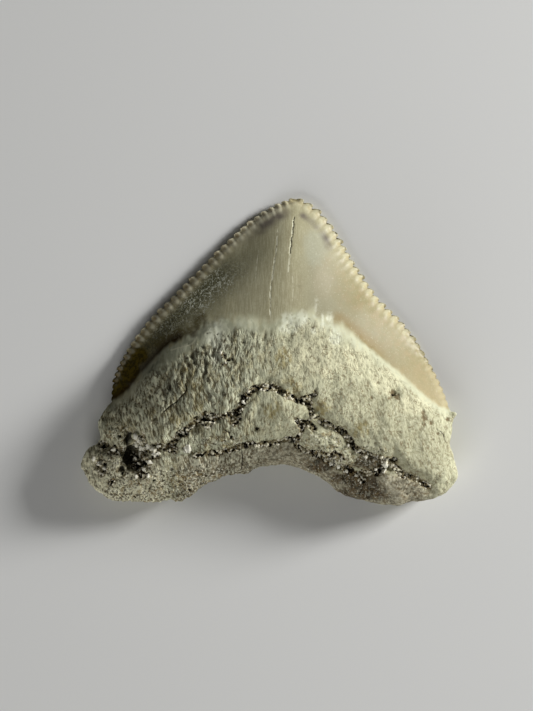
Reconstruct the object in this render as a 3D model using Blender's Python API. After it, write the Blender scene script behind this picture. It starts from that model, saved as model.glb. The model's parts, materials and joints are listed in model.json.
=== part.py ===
"""A fossil shark tooth: one solid, lying on its flat labial face with the root's bulge upwards.

Lengths in this script are millimetres, and the finished mesh is scaled to metres. +Z is up, X runs
across the root, and +Y points from the root to the tip of the crown. Z = 0 is the surface that the
tooth lies on, and the origin is under the middle of its bounding box.
"""

import math

import bmesh
import bpy
import numpy as np
from mathutils import Vector, noise
from mathutils.geometry import delaunay_2d_cdt

MM = 0.001  # metres in a millimetre

# Mesh fineness
LINGUAL_SPACING = 0.57  # between points of the upper, lingual face
LABIAL_SPACING = 0.98  # between points of the lower, labial face
ROOT_RIM_SPACING = 0.55
EDGE_SPACING = 0.05  # between points of the smooth edge lines that the serrations stand on
LINE_SPACING = 0.25  # between points of the lines drawn on the faces
CURVE_STEPS = 12  # between two of the points that a smooth curve passes through
SERRATION_SAMPLES = (0.0, 0.22, 0.45, 0.68, 0.88)  # of a pitch, for the points on one serration
CROWN_RINGS = (0.34, 0.80)  # distances in from the rim of the rings of points beside it
ROOT_RINGS = (0.25, 0.80, 1.55)
CROWN_RING_STEP = 0.5  # of a pitch, between the points of the crown's rings
LEAST_GAP = 0.17  # between two points of the rings
LATTICE_CLEARANCE = 0.55  # of the spacing, between the last ring and the first lattice points

# The tooth's widest line, seen from above, as points that smooth curves pass through. On the
# crown it runs half way up the serrations.
CROWN_RIGHT_EDGE = [
    (2.30, 13.97), (3.38, 13.49), (5.15, 12.00), (7.15, 8.82), (8.58, 6.50), (10.26, 4.30),
    (12.45, 2.09), (14.26, -0.68), (15.76, -3.63), (16.15, -5.00),
]
CROWN_LEFT_EDGE = [
    (2.30, 13.97), (1.20, 13.52), (-0.10, 12.95), (-1.45, 12.02), (-2.73, 10.98), (-5.08, 8.71),
    (-7.44, 6.27), (-9.78, 3.97), (-10.87, 2.83), (-11.94, 1.56), (-12.84, 0.18), (-13.61, -1.07),
    (-14.13, -2.40), (-14.30, -3.40), (-14.32, -4.60),
]
ROOT_EDGE = [
    # the right end of the root, from the crown down, with its small spur
    (16.15, -5.00), (16.38, -5.52), (16.80, -5.62), (16.75, -5.90), (16.40, -6.24), (16.42, -7.15),
    (16.29, -8.51), (16.58, -9.69), (16.93, -10.96), (16.65, -11.87), (15.87, -12.78),
    (14.42, -13.38), (12.78, -13.55), (12.06, -13.87), (10.97, -13.87), (9.43, -13.73),
    (7.88, -13.32), (6.25, -12.70), (5.50, -12.02),
    # the hollow of the arch
    (3.80, -10.96), (2.25, -10.38), (0.62, -10.23), (-1.02, -10.51), (-1.83, -10.91),
    (-2.65, -11.05), (-4.29, -11.35), (-5.74, -11.96), (-6.37, -12.45), (-6.74, -12.84),
    (-7.46, -13.18),
    # the left lobe, and up its outer side to the crown
    (-8.10, -13.57), (-8.51, -13.59), (-8.87, -13.37), (-9.37, -13.48), (-10.82, -13.57),
    (-12.28, -13.57), (-13.73, -13.55), (-14.46, -13.32), (-15.12, -12.84), (-15.91, -12.14),
    (-16.50, -11.46), (-16.91, -10.78), (-17.03, -10.01), (-16.76, -9.33), (-16.27, -8.78),
    (-15.70, -8.51), (-15.33, -8.05), (-15.36, -7.42), (-15.45, -6.56), (-15.29, -5.97),
    (-14.80, -5.22), (-14.32, -4.60),
]

# Serrations: (share of the way from tip to root, value)
RIGHT_PITCH = [(0.0, 0.95), (0.12, 0.95), (0.25, 0.72), (0.60, 0.84), (1.0, 0.66)]
RIGHT_HEIGHT = [(0.0, 0.20), (0.08, 0.30), (0.62, 0.27), (0.75, 0.16), (1.0, 0.08)]
LEFT_PITCH = [(0.0, 0.66), (0.25, 0.82), (0.70, 0.80), (0.88, 0.58), (1.0, 0.56)]
LEFT_HEIGHT = [(0.0, 0.18), (0.80, 0.19), (0.93, 0.17), (1.0, 0.04)]
SERRATION_LEAN = 0.55  # how far a serration leans to the root, for each unit of its height
SERRATION_SKEW = 1.35  # over 1 puts a serration's top nearer the root
SERRATION_FULLNESS = 0.7  # under 1 gives round tops and narrow notches
SERRATION_MEAN = 0.62  # mean height of a serration, as a share of its top's
SERRATION_VARIETY = 0.28
BEAD_RELIEF = 0.10  # height of the bead that each serration makes on the upper face
BEAD_RELIEF_BELOW = 0.05
BEAD_REACH = 1.1  # how far the beads run in from the edge
BEAD_FADE = 1.5  # over 1 makes them fade sooner
FULL_SERRATION = 0.30  # height of a serration whose bead has the full relief

# The rim: the line round the tooth where the two faces meet
CROWN_RIM_HEIGHT = 0.85
ROOT_RIM_HEIGHT = 2.5
SHOULDER = 2.2  # length of rim over which it rises from the crown's height to the root's
CROWN_ROUNDING = 0.42
ROOT_ROUNDING = 2.6
CROWN_WALL = 0.24  # height of the side wall between the two roundings
ROOT_WALL = 0.70
LABIAL_ROUNDING = 0.75  # the lower face's rounding, as a share of the upper face's

# Heights of the upper face, as on a map: x, y, z
LINGUAL_SPOTS = [
    # crown: tip, middle line, edges, and between them
    (2.1, 13.4, 1.10), (2.0, 11.4, 2.35), (1.6, 8.6, 3.45), (1.3, 5.8, 4.30), (1.2, 3.6, 5.00),
    (5.4, 11.0, 1.20), (7.9, 7.2, 1.30), (11.6, 2.4, 1.35), (14.6, -2.0, 1.50), (15.9, -5.0, 2.60),
    (-1.6, 11.4, 1.20), (-6.2, 7.2, 1.25), (-10.2, 3.1, 1.35), (-13.4, -1.3, 1.45),
    (-13.9, -4.6, 2.40),
    (5.0, 7.2, 3.05), (8.3, 3.6, 3.00), (11.9, -0.9, 2.70), (-2.6, 6.8, 3.00), (-6.4, 3.4, 2.95),
    (-10.0, 0.0, 2.65),
    # root: the bulge's crest, and the slopes above it
    (1.2, 0.4, 6.30), (1.2, -2.4, 7.60), (1.2, -4.6, 8.05), (6.6, -1.0, 6.05), (6.8, -4.6, 7.55),
    (-3.8, -0.4, 6.00), (-4.2, -4.6, 7.40), (11.6, -4.2, 5.45), (-8.8, -1.8, 4.95),
    (-9.0, -6.0, 6.30), (-12.6, -5.4, 4.10), (11.8, -8.0, 6.30), (14.9, -6.6, 4.30),
    # root: the slope from the crest to the arch, and the lobes
    (1.2, -6.9, 7.20), (1.2, -8.7, 5.90), (-4.0, -8.2, 6.30), (-4.0, -10.6, 4.50),
    (6.9, -8.4, 6.50), (6.6, -11.6, 4.60), (-9.4, -9.8, 5.60), (-9.6, -12.6, 4.20),
    (-13.3, -9.0, 4.70), (-13.5, -11.9, 4.10), (-15.8, -10.3, 3.60), (12.0, -11.8, 5.00),
    (15.0, -10.0, 4.80), (14.6, -12.4, 4.00),
]
# Heights of the lower face
LABIAL_SPOTS = [
    (2.1, 13.4, 0.40), (2.0, 9.0, 0.00), (-6.0, 6.6, 0.40), (8.6, 5.8, 0.40), (1.0, 4.0, -0.05),
    (-13.4, -2.0, 0.45), (14.6, -2.2, 0.45), (-7.0, 0.0, 0.12), (8.0, 0.0, 0.12), (1.0, -1.0, 0.30),
    (1.0, -5.0, 0.62), (0.8, -9.6, 0.75), (-8.0, -6.0, 0.10), (9.0, -6.0, 0.10),
    (-12.5, -10.5, -0.12), (12.5, -11.0, -0.12), (-15.6, -8.5, 0.25), (16.0, -8.5, 0.25),
    (-6.0, -11.0, 0.25), (6.0, -11.6, 0.25),
]

# Where the crown's enamel ends on the root, on the upper and on the lower face
LINGUAL_ENAMEL_END = [
    (-14.6, -4.9), (-12.8, -3.7), (-11.0, -1.5), (-9.3, 0.2), (-6.9, 1.5), (-5.4, 2.5), (-3.9, 3.0),
    (-1.9, 3.0), (0.0, 2.7), (2.2, 3.5), (4.1, 3.3), (6.5, 2.2), (9.0, 0.2), (11.4, -1.7),
    (13.6, -3.7), (15.8, -5.3), (17.2, -6.1),
]
LABIAL_ENAMEL_END = [
    (-14.9, -5.0), (-11.6, -3.4), (-6.3, -1.6), (1.3, -0.7), (8.2, -1.5), (12.8, -3.2),
    (16.9, -5.2),
]
ROOT_COLLAR = 0.42  # step up from the enamel to the root on the upper face
COLLAR_WIDTH = 0.85
COLLAR_FADES = 4.5  # half width of the middle stretch, where the enamel runs out almost level
COLLAR_FADE_X = 1.5
COLLAR_LEFT_IN_MIDDLE = 0.15  # of the step
RELIEF_FADE = 1.3  # distance from the enamel over which the root's relief sets in
LABIAL_STEP = 0.14  # step from the enamel to the root on the lower face
LABIAL_STEP_WIDTH = 0.6

# Broken, pitted lines in the root, as (depth, half width, points)
PIT_LINES = [
    (0.55, 0.62, [
        (-15.2, -8.3), (-14.2, -8.8), (-12.2, -8.9), (-10.4, -8.6), (-8.9, -8.2), (-7.5, -6.9),
        (-5.9, -6.1), (-4.2, -5.7), (-3.1, -5.3), (-2.4, -4.2), (-1.4, -3.4), (-0.3, -2.9),
        (1.0, -3.6), (2.2, -4.2), (3.4, -4.5), (4.1, -5.8), (5.4, -6.6), (6.6, -7.3), (7.5, -8.5),
        (8.8, -9.3), (10.3, -10.0), (11.3, -10.2), (12.0, -10.9), (13.3, -11.5), (14.4, -12.2),
    ]),
    (0.42, 0.50, [
        (-7.4, -9.1), (-5.5, -9.0), (-3.9, -8.8), (-2.9, -8.3), (-1.4, -8.2), (0.5, -8.0),
        (2.3, -8.1), (3.4, -8.8), (4.4, -9.5), (5.6, -10.0), (6.9, -10.7), (8.1, -11.2),
        (9.3, -11.0), (10.7, -10.2),
    ]),
    (0.45, 0.50, [(2.6, -6.0), (3.9, -6.6)]),
]
# Hollows in the root, as (x, y, radius across, radius along, depth)
HOLLOWS = [
    (-11.9, -8.9, 1.05, 1.9, 1.15),
    (-14.9, -8.7, 0.8, 0.6, 0.55),
    (-15.4, -10.4, 0.8, 0.9, 0.45),
    (7.4, -10.9, 1.2, 0.7, 0.50),
    (9.3, -10.9, 0.9, 0.7, 0.50),
    (11.0, -3.8, 0.45, 0.45, 0.35),
]
# Low lumps of the root, as (size, how much longer along Y, height), and which noise makes them
LINGUAL_LUMPS = (1.9, 1.6, 0.16)
LABIAL_LUMPS = (3.8, 1.3, 0.08)
LINGUAL_SEED = 3.1
LABIAL_SEED = 5.7
BREAK_SEED = 8.4
BREAK_SIZE = 0.75  # of the breaks in a pitted line
BREAK_MEAN = 0.75  # mean depth of a pitted line, as a share of its full depth
BREAK_SPREAD = 0.9  # how much the breaks change that
BREAK_LIMITS = (0.1, 1.4)
HOLLOW_SPREAD = 0.5  # how much the breaks change a hollow's depth
REST_TRIM = 0.10  # worn off the lower face, which leaves the flats that the tooth lies on

ROOT_COLOUR = (0.52, 0.49, 0.36, 1.0)
ENAMEL_COLOUR = (0.40, 0.36, 0.24, 1.0)
ROOT_ROUGHNESS = 0.85
ENAMEL_ROUGHNESS = 0.32


# ---- curves -------------------------------------------------------------------------------------


def arc_lengths(line):
    """The distance along a line at each of its points."""
    return np.concatenate([[0.0], np.cumsum(np.linalg.norm(np.diff(line, axis=0), axis=1))])


def resampled(line, spacing):
    """The same line with its points about this far apart."""
    along = arc_lengths(line)
    count = max(2, round(along[-1] / spacing) + 1)
    at = np.linspace(0.0, along[-1], count)
    return sampled(along, line, at)


def smooth_line(points, spacing):
    """A Catmull-Rom curve through the points, with its own points about this far apart."""
    points = np.array(points, float)
    padded = np.vstack([2 * points[0] - points[1], points, 2 * points[-1] - points[-2]])
    steps = np.linspace(0.0, 1.0, CURVE_STEPS, endpoint=False)[:, None]
    curve = []
    for before, start, end, after in zip(padded, padded[1:], padded[2:], padded[3:]):
        curve.append(0.5 * (
            2 * start
            + (end - before) * steps
            + (2 * before - 5 * start + 4 * end - after) * steps**2
            + (3 * start - before - 3 * end + after) * steps**3
        ))
    curve.append(points[-1:])
    return resampled(np.vstack(curve), spacing)


def sampled(along, values, at):
    """Rows of values, given at these arc lengths, read at other arc lengths."""
    return np.column_stack([np.interp(at, along, values[:, axis]) for axis in (0, 1)])


def directions(line, side):
    """Unit normals and tangents. The normals are on the line's left for side 1, right for -1."""
    tangents = np.gradient(line, axis=0)
    tangents /= np.linalg.norm(tangents, axis=1)[:, None]
    return side * np.column_stack([-tangents[:, 1], tangents[:, 0]]), tangents


def nearest_on(line, points):
    """(distance, arc length) of the nearest place on an open line, for each point."""
    start, step = line[:-1], np.diff(line, axis=0)
    length = np.linalg.norm(step, axis=1)
    offset = points[:, None, :] - start[None, :, :]
    share = np.clip((offset * step).sum(2) / length**2, 0.0, 1.0)
    gap = np.linalg.norm(offset - share[..., None] * step, axis=2)
    best = gap.argmin(axis=1)
    rows = np.arange(len(points))
    return gap[rows, best], arc_lengths(line)[best] + share[rows, best] * length[best]


def inside(loop, points):
    """Whether each point is inside a closed loop."""
    x, y = points[:, 0:1], points[:, 1:2]
    x0, y0 = loop[:, 0], loop[:, 1]
    x1, y1 = np.roll(x0, -1), np.roll(y0, -1)
    rising = np.where(y1 == y0, 1e-12, y1 - y0)
    crosses = ((y0 > y) != (y1 > y)) & (x < x0 + (y - y0) * (x1 - x0) / rising)
    return crosses.sum(axis=1) % 2 == 1


def smoothstep(low, high, value):
    share = np.clip((value - low) / (high - low), 0.0, 1.0)
    return share * share * (3 - 2 * share)


# ---- the serrated edges of the crown --------------------------------------------------------------


class CrownEdge:
    """One cutting edge, from the tip to the root, with its serrations."""

    def __init__(self, points, side, pitch, height):
        self.line = smooth_line(points, EDGE_SPACING)
        self.along = arc_lengths(self.line)
        self.normals, self.tangents = directions(self.line, side)
        share = self.along / self.along[-1]
        spacing = np.interp(share, *zip(*pitch))
        phase = np.concatenate([[0.0], np.cumsum(np.diff(self.along) / spacing[1:])])
        self.phase = phase * round(phase[-1]) / phase[-1]
        self.height = np.interp(share, *zip(*height))

    def dome(self, phase):
        """A serration's outline, 0 in the notches and 1 at its top, which is nearer the root."""
        return np.sin(math.pi * np.mod(phase, 1.0) ** SERRATION_SKEW) ** SERRATION_FULLNESS

    def variety(self, phase):
        """Makes some serrations higher than others."""
        number = np.floor(phase)
        return 1.0 + SERRATION_VARIETY * np.sin(2.4 * number) * np.cos(1.1 * number)

    def rim(self):
        """Points of the edge from the tip to the root, without its last one."""
        count = round(self.phase[-1])
        wanted = np.array([n + u for n in range(count) for u in SERRATION_SAMPLES])
        at = np.interp(wanted, self.phase, self.along)
        place, normal, tangent = (
            sampled(self.along, values, at) for values in (self.line, self.normals, self.tangents)
        )
        share = self.dome(wanted) * self.variety(wanted) - SERRATION_MEAN
        out = np.interp(at, self.along, self.height) * share
        return place + out[:, None] * (normal + SERRATION_LEAN * tangent)

    def beads(self, points):
        """The relief, from -1 in the grooves to 1 on the beads, near this edge."""
        gap, at = nearest_on(self.line, points)
        phase = np.interp(at, self.along, self.phase)
        strength = np.interp(at, self.along, self.height) / FULL_SERRATION
        fade = np.clip(1 - gap / BEAD_REACH, 0.0, 1.0) ** BEAD_FADE
        return (2 * self.dome(phase) - 1) * strength * fade


RIGHT_EDGE = CrownEdge(CROWN_RIGHT_EDGE, 1, RIGHT_PITCH, RIGHT_HEIGHT)
LEFT_EDGE = CrownEdge(CROWN_LEFT_EDGE, -1, LEFT_PITCH, LEFT_HEIGHT)
ROOT_LINE = smooth_line(ROOT_EDGE, ROOT_RIM_SPACING)


def tooth_rim():
    """The outline, clockwise from the tip. Its last point is next to its first."""
    return np.vstack([RIGHT_EDGE.rim(), ROOT_LINE, LEFT_EDGE.rim()[:0:-1]])


# ---- heights of the two faces -----------------------------------------------------------------------


def height_map(spots):
    """A thin plate bent through the spot heights: a function of x and y."""
    spots = np.array(spots)
    places, heights = spots[:, :2], spots[:, 2]

    def bending(points):
        square = ((points[:, None, :] - places[None, :, :]) ** 2).sum(2)
        return 0.5 * square * np.log(square + 1e-12)

    def flat(points):
        return np.column_stack([np.ones(len(points)), points])

    count = len(spots)
    system = np.zeros((count + 3, count + 3))
    system[:count, :count] = bending(places)
    system[:count, count:] = flat(places)
    system[count:, :count] = flat(places).T
    weights = np.linalg.solve(system, np.concatenate([heights, np.zeros(3)]))
    return lambda points: bending(points) @ weights[:count] + flat(points) @ weights[count:]


def below_line(line_points, points):
    """How far each point is on the root's side of an enamel line, and below 0 on the crown's."""
    line = smooth_line(line_points, LINE_SPACING)
    gap, _ = nearest_on(line, points)
    return np.where(points[:, 1] < np.interp(points[:, 0], line[:, 0], line[:, 1]), gap, -gap)


def noise_at(points, size, stretch, seed):
    """Smooth noise, from about -1 to 1, with lumps of this size that are stretched along Y."""
    return np.array([
        noise.noise(Vector((x / size, y / (size * stretch), seed))) for x, y in points
    ])


def rim_profile(points, rim):
    """For each point: its distance from the rim, and the rim's top, bottom and rounding there."""
    loop = np.vstack([rim, rim[:1]])
    gap, _ = nearest_on(loop, points)
    to_crown = np.minimum(*(nearest_on(edge.line, points)[0] for edge in (LEFT_EDGE, RIGHT_EDGE)))
    to_root, _ = nearest_on(ROOT_LINE, points)
    rootness = smoothstep(-SHOULDER, SHOULDER, to_crown - to_root)
    height = CROWN_RIM_HEIGHT + (ROOT_RIM_HEIGHT - CROWN_RIM_HEIGHT) * rootness
    wall = CROWN_WALL + (ROOT_WALL - CROWN_WALL) * rootness
    rounding = CROWN_ROUNDING + (ROOT_ROUNDING - CROWN_ROUNDING) * rootness
    return gap, height + wall / 2, height - wall / 2, rounding


def quarter_round(share):
    """An edge rounded like a quarter of a circle: 0 on the rim and 1 where the rounding ends."""
    return np.sqrt(1 - (1 - np.clip(share, 0.0, 1.0)) ** 2)


def lumps(points, shape, seed):
    """Low lumps all over, above and below 0."""
    size, stretch, height = shape
    return height * noise_at(points, size, stretch, seed)


def beads(points):
    """The relief that the serrations of both edges make, from -1 to 1."""
    return RIGHT_EDGE.beads(points) + LEFT_EDGE.beads(points)


def root_relief(points):
    """Lumps, broken pit lines and hollows of the root, where down is negative."""
    relief = lumps(points, LINGUAL_LUMPS, LINGUAL_SEED)
    breaks = noise_at(points, BREAK_SIZE, 1.0, BREAK_SEED)
    share = np.clip(BREAK_MEAN + BREAK_SPREAD * breaks, *BREAK_LIMITS)
    for depth, half_width, line in PIT_LINES:
        gap, _ = nearest_on(smooth_line(line, LINE_SPACING), points)
        relief -= depth * share * np.exp(-((gap / half_width) ** 2))
    for x, y, across, along, depth in HOLLOWS:
        square = ((points[:, 0] - x) / across) ** 2 + ((points[:, 1] - y) / along) ** 2
        relief -= depth * (1 + HOLLOW_SPREAD * breaks) * np.exp(-square)
    return relief


def collar_height(points):
    """The step up from the enamel to the root on the upper face, which the middle hardly has."""
    at_sides = smoothstep(0.0, COLLAR_FADES, np.abs(points[:, 0] - COLLAR_FADE_X))
    return ROOT_COLLAR * (COLLAR_LEFT_IN_MIDDLE + (1 - COLLAR_LEFT_IN_MIDDLE) * at_sides)


def lingual_heights(points, rim):
    """Heights of the upper face."""
    gap, rim_top, _, rounding = rim_profile(points, rim)
    below = below_line(LINGUAL_ENAMEL_END, points)
    face = height_map(LINGUAL_SPOTS)(points)
    face += collar_height(points) * (smoothstep(-COLLAR_WIDTH / 4, COLLAR_WIDTH * 3 / 4, below) - 0.5)
    face += root_relief(points) * smoothstep(0.0, RELIEF_FADE, below)
    face += BEAD_RELIEF * beads(points)
    return rim_top + (np.maximum(face, rim_top) - rim_top) * quarter_round(gap / rounding)


def labial_heights(points, rim):
    """Heights of the lower face, with the flats that it rests on at 0."""
    gap, _, rim_bottom, rounding = rim_profile(points, rim)
    below = below_line(LABIAL_ENAMEL_END, points)
    face = height_map(LABIAL_SPOTS)(points)
    face += LABIAL_STEP * smoothstep(0.0, LABIAL_STEP_WIDTH, below)
    face += lumps(points, LABIAL_LUMPS, LABIAL_SEED)
    face -= BEAD_RELIEF_BELOW * beads(points)
    face = np.clip(face - REST_TRIM, 0.0, None)
    return rim_bottom - (rim_bottom - face) * quarter_round(gap / (LABIAL_ROUNDING * rounding))


# ---- the solid ----------------------------------------------------------------------------------------


def thinned(points):
    """The points without those that come too close to an earlier one, as where rings cross."""
    kept = points[:1]
    for point in points[1:]:
        if np.linalg.norm(kept - point, axis=1).min() > LEAST_GAP:
            kept = np.vstack([kept, point])
    return kept


def ring_points(rim):
    """Points inside the outline, in rows beside the rim."""
    rings = []
    for edge in (RIGHT_EDGE, LEFT_EDGE):
        at = np.interp(np.arange(0.0, edge.phase[-1], CROWN_RING_STEP), edge.phase, edge.along)
        place, normal = (sampled(edge.along, values, at) for values in (edge.line, edge.normals))
        rings += [place - depth * normal for depth in CROWN_RINGS]
    normals, _ = directions(ROOT_LINE, 1)
    rings += [ROOT_LINE - depth * normals for depth in ROOT_RINGS]
    points = np.vstack(rings)
    gap, _ = nearest_on(np.vstack([rim, rim[:1]]), points)
    return thinned(points[inside(rim, points) & (gap > LEAST_GAP)])


def lattice_points(rim, spacing):
    """An even triangular lattice of points inside the rings."""
    low, high = rim.min(axis=0), rim.max(axis=0)
    row_step = spacing * math.sqrt(3) / 2
    lattice = np.array([
        (x + (row % 2) * spacing / 2, y)
        for row, y in enumerate(np.arange(low[1], high[1], row_step))
        for x in np.arange(low[0], high[0], spacing)
    ])
    gap, _ = nearest_on(np.vstack([rim, rim[:1]]), lattice)
    to_root, _ = nearest_on(ROOT_LINE, lattice)
    last_ring = np.where(to_root < gap + CROWN_RINGS[0], ROOT_RINGS[-1], CROWN_RINGS[-1])
    return lattice[inside(rim, lattice) & (gap > last_ring + LATTICE_CLEARANCE * spacing)]


def face_mesh(rim, spacing, heights):
    """(points, triangles) of one face. Its first points are the rim's, in their order."""
    flat = np.vstack([rim, ring_points(rim), lattice_points(rim, spacing)])
    edges = [(n, (n + 1) % len(rim)) for n in range(len(rim))]
    inside_only, same_place = 1, 1e-6
    made = delaunay_2d_cdt([Vector(p) for p in flat], edges, [], inside_only, same_place)
    places = np.array([tuple(v) for v in made[0]])
    return np.column_stack([places, heights(places, rim)]), made[2]


def tooth_mesh():
    """The closed mesh of the whole tooth: its two faces, and the side wall between their rims."""
    rim = tooth_rim()
    upper, upper_faces = face_mesh(rim, LINGUAL_SPACING, lingual_heights)
    lower, lower_faces = face_mesh(rim, LABIAL_SPACING, labial_heights)
    points = np.vstack([upper, lower])
    middle = (points.min(axis=0) + points.max(axis=0)) / 2
    points -= (middle[0], middle[1], 0.0)

    mesh = bpy.data.meshes.new("fossil_shark_tooth")
    bm = bmesh.new()
    corners = [bm.verts.new(Vector(p) * MM) for p in points]
    top, bottom = corners[:len(upper)], corners[len(upper):]
    for face in upper_faces:
        bm.faces.new([top[n] for n in face])
    for face in lower_faces:
        bm.faces.new([bottom[n] for n in reversed(face)])
    for n in range(len(rim)):
        after = (n + 1) % len(rim)
        bm.faces.new([top[n], top[after], bottom[after], bottom[n]])
    bmesh.ops.recalc_face_normals(bm, faces=bm.faces)
    bm.to_mesh(mesh)
    bm.free()
    return mesh


def principled(name, colour, roughness):
    material = bpy.data.materials.new(name)
    material.use_nodes = True
    shader = material.node_tree.nodes["Principled BSDF"]
    shader.inputs["Base Color"].default_value = colour
    shader.inputs["Roughness"].default_value = roughness
    shader.inputs["Metallic"].default_value = 0.0
    return material


def paint(mesh):
    """The root's material on the whole mesh, then the enamel's on the faces of the crown."""
    mesh.materials.append(principled("root_dentine", ROOT_COLOUR, ROOT_ROUGHNESS))
    mesh.materials.append(principled("crown_enamel", ENAMEL_COLOUR, ENAMEL_ROUGHNESS))
    upper_line = smooth_line(LINGUAL_ENAMEL_END, LINE_SPACING)
    lower_line = smooth_line(LABIAL_ENAMEL_END, LINE_SPACING)
    for face in mesh.polygons:
        line = upper_line if face.normal.z > 0 else lower_line
        x, y = face.center.x / MM, face.center.y / MM
        face.material_index = int(y > np.interp(x, line[:, 0], line[:, 1]))


def main():
    for old in list(bpy.data.objects):
        bpy.data.objects.remove(old)
    mesh = tooth_mesh()
    paint(mesh)
    mesh.shade_smooth()
    tooth = bpy.data.objects.new("fossil_shark_tooth", mesh)
    bpy.context.scene.collection.objects.link(tooth)


main()
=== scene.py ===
"""The looks of a fossil shark tooth that lies on its flat labial face, with its lingual face up.

The solid tooth of the frame is copied, given a finer mesh and carved: fibres, lumps, crumbly pitted
lines, pores, cracks and the beads of its serrations. Masks that are kept on its points tell the one
material where enamel, stains, painted light and shade, and broken places are. Lengths are
millimetres; the tooth's mesh is in metres, and MM turns one into the other. +Y points to the tip of
the crown, and +Z is up.
"""

import json
import math

import bpy
import numpy as np
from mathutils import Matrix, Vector, noise

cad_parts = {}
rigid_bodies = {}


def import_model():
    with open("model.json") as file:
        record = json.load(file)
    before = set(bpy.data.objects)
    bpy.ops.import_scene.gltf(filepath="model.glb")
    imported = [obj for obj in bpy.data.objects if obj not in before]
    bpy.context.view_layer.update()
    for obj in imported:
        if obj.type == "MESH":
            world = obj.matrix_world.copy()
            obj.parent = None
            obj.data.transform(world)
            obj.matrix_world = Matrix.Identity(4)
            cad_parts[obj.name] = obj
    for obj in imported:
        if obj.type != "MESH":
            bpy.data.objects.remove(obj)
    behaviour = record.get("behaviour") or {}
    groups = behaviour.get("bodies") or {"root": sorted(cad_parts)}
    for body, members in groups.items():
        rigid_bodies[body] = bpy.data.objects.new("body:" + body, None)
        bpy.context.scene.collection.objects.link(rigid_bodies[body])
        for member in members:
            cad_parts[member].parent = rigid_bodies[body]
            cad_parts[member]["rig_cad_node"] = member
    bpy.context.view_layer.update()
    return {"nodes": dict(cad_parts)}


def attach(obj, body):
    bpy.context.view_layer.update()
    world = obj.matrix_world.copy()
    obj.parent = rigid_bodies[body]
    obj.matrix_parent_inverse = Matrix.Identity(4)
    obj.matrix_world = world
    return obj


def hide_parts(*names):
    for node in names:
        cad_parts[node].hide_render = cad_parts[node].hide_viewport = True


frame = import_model()

MM = 0.001  # metres in a millimetre
NODE = "fossil_shark_tooth"

# ---- places on the tooth, seen from above --------------------

CENTRING = 0.055  # the tooth's own middle is this far to the left of the places' x = 0

# Where the enamel ends on the root, on the upper and on the lower face
ENAMEL_END = [
    (-14.6, -4.9), (-12.8, -3.7), (-11.0, -1.5), (-9.3, 0.2), (-6.9, 1.5), (-5.4, 2.5), (-3.9, 3.0),
    (-1.9, 3.0), (0.0, 2.7), (2.2, 3.5), (4.1, 3.3), (6.5, 2.2), (9.0, 0.2), (11.4, -1.7),
    (13.6, -3.7), (15.6, -5.05), (17.2, -5.4),
]
LABIAL_ENAMEL_END = [
    (-14.9, -5.0), (-11.6, -3.4), (-6.3, -1.6), (1.3, -0.7), (8.2, -1.5), (12.8, -3.2),
    (16.9, -5.2),
]
# The smooth collar between the enamel and the fibres: how far it reaches below the enamel's end, and
# how much further between places along x, as (reach, (start, full, full end, end))
COLLAR_REACH = 0.4
COLLAR_PARTS = [
    (0.80, (-11.0, -9.0, -1.0, 3.0)),
    (0.45, (0.2, 2.0, 6.5, 9.5)),
    (0.30, (-6.2, -5.4, -4.4, -3.6)),
]
# The cutting edges, from the tip to the root
RIGHT_EDGE = [
    (2.30, 13.97), (3.38, 13.49), (5.15, 12.00), (7.15, 8.82), (8.58, 6.50), (10.26, 4.30),
    (12.45, 2.09), (14.26, -0.68), (15.76, -3.63), (16.15, -5.00),
]
LEFT_EDGE = [
    (2.30, 13.97), (1.20, 13.52), (-0.10, 12.95), (-1.45, 12.02), (-2.73, 10.98), (-5.08, 8.71),
    (-7.44, 6.27), (-9.78, 3.97), (-10.87, 2.83), (-11.94, 1.56), (-12.84, 0.18), (-13.61, -1.07),
    (-14.13, -2.40), (-14.30, -3.40), (-14.32, -4.60),
]
# Pitch of the serrations, as (share of the way from tip to root, length)
RIGHT_PITCH = [(0.0, 0.95), (0.12, 0.95), (0.25, 0.72), (0.60, 0.84), (1.0, 0.66)]
LEFT_PITCH = [(0.0, 0.66), (0.25, 0.82), (0.70, 0.80), (0.88, 0.58), (1.0, 0.56)]
# Each edge with its pitch and the dark cup of its serrations: the cup's place, as (share of the
# serration's length, distance from the edge), and its radius
CUTTING_EDGES = [
    (RIGHT_EDGE, RIGHT_PITCH, (0.72, 0.22), 0.28),
    (LEFT_EDGE, LEFT_PITCH, (0.60, 0.20), 0.30),
]
# The pale lip of a serration, in the same way: partly the serration's own cream colour, partly a
# painted highlight
LIP_PLACE = (0.42, 0.25)
LIP_SIZE = 0.38
LIP_REACH = 0.36  # a lip that reaches this far in from the edge is round

# Crumbly lines where the root has broken open, as (half width, points)
UPPER_PIT_LINE = (0.30, [
    (-10.8, -8.7), (-9.6, -8.8), (-8.5, -8.1), (-7.7, -7.2), (-6.6, -6.5), (-5.5, -6.0),
    (-4.3, -5.8), (-2.8, -5.4), (-2.4, -4.6), (-1.8, -3.6), (-0.9, -3.2), (0.5, -3.3), (1.4, -3.9),
    (2.4, -4.3), (3.5, -4.7), (3.8, -5.7), (5.1, -6.5), (6.6, -7.3), (7.5, -8.6), (8.9, -9.3),
    (10.7, -9.8), (11.7, -10.9), (13.2, -11.5), (14.2, -12.2),
])
LOWER_PIT_LINE = (0.25, [
    (-6.6, -9.3), (-5.4, -9.1), (-3.9, -8.9), (-2.8, -8.6), (-1.8, -8.3), (-0.6, -8.3), (0.8, -8.1),
    (1.9, -7.8), (2.6, -8.6), (4.2, -9.4), (5.5, -9.9), (6.5, -10.6), (8.3, -11.1), (9.6, -10.6),
    (10.8, -10.1),
])
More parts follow.
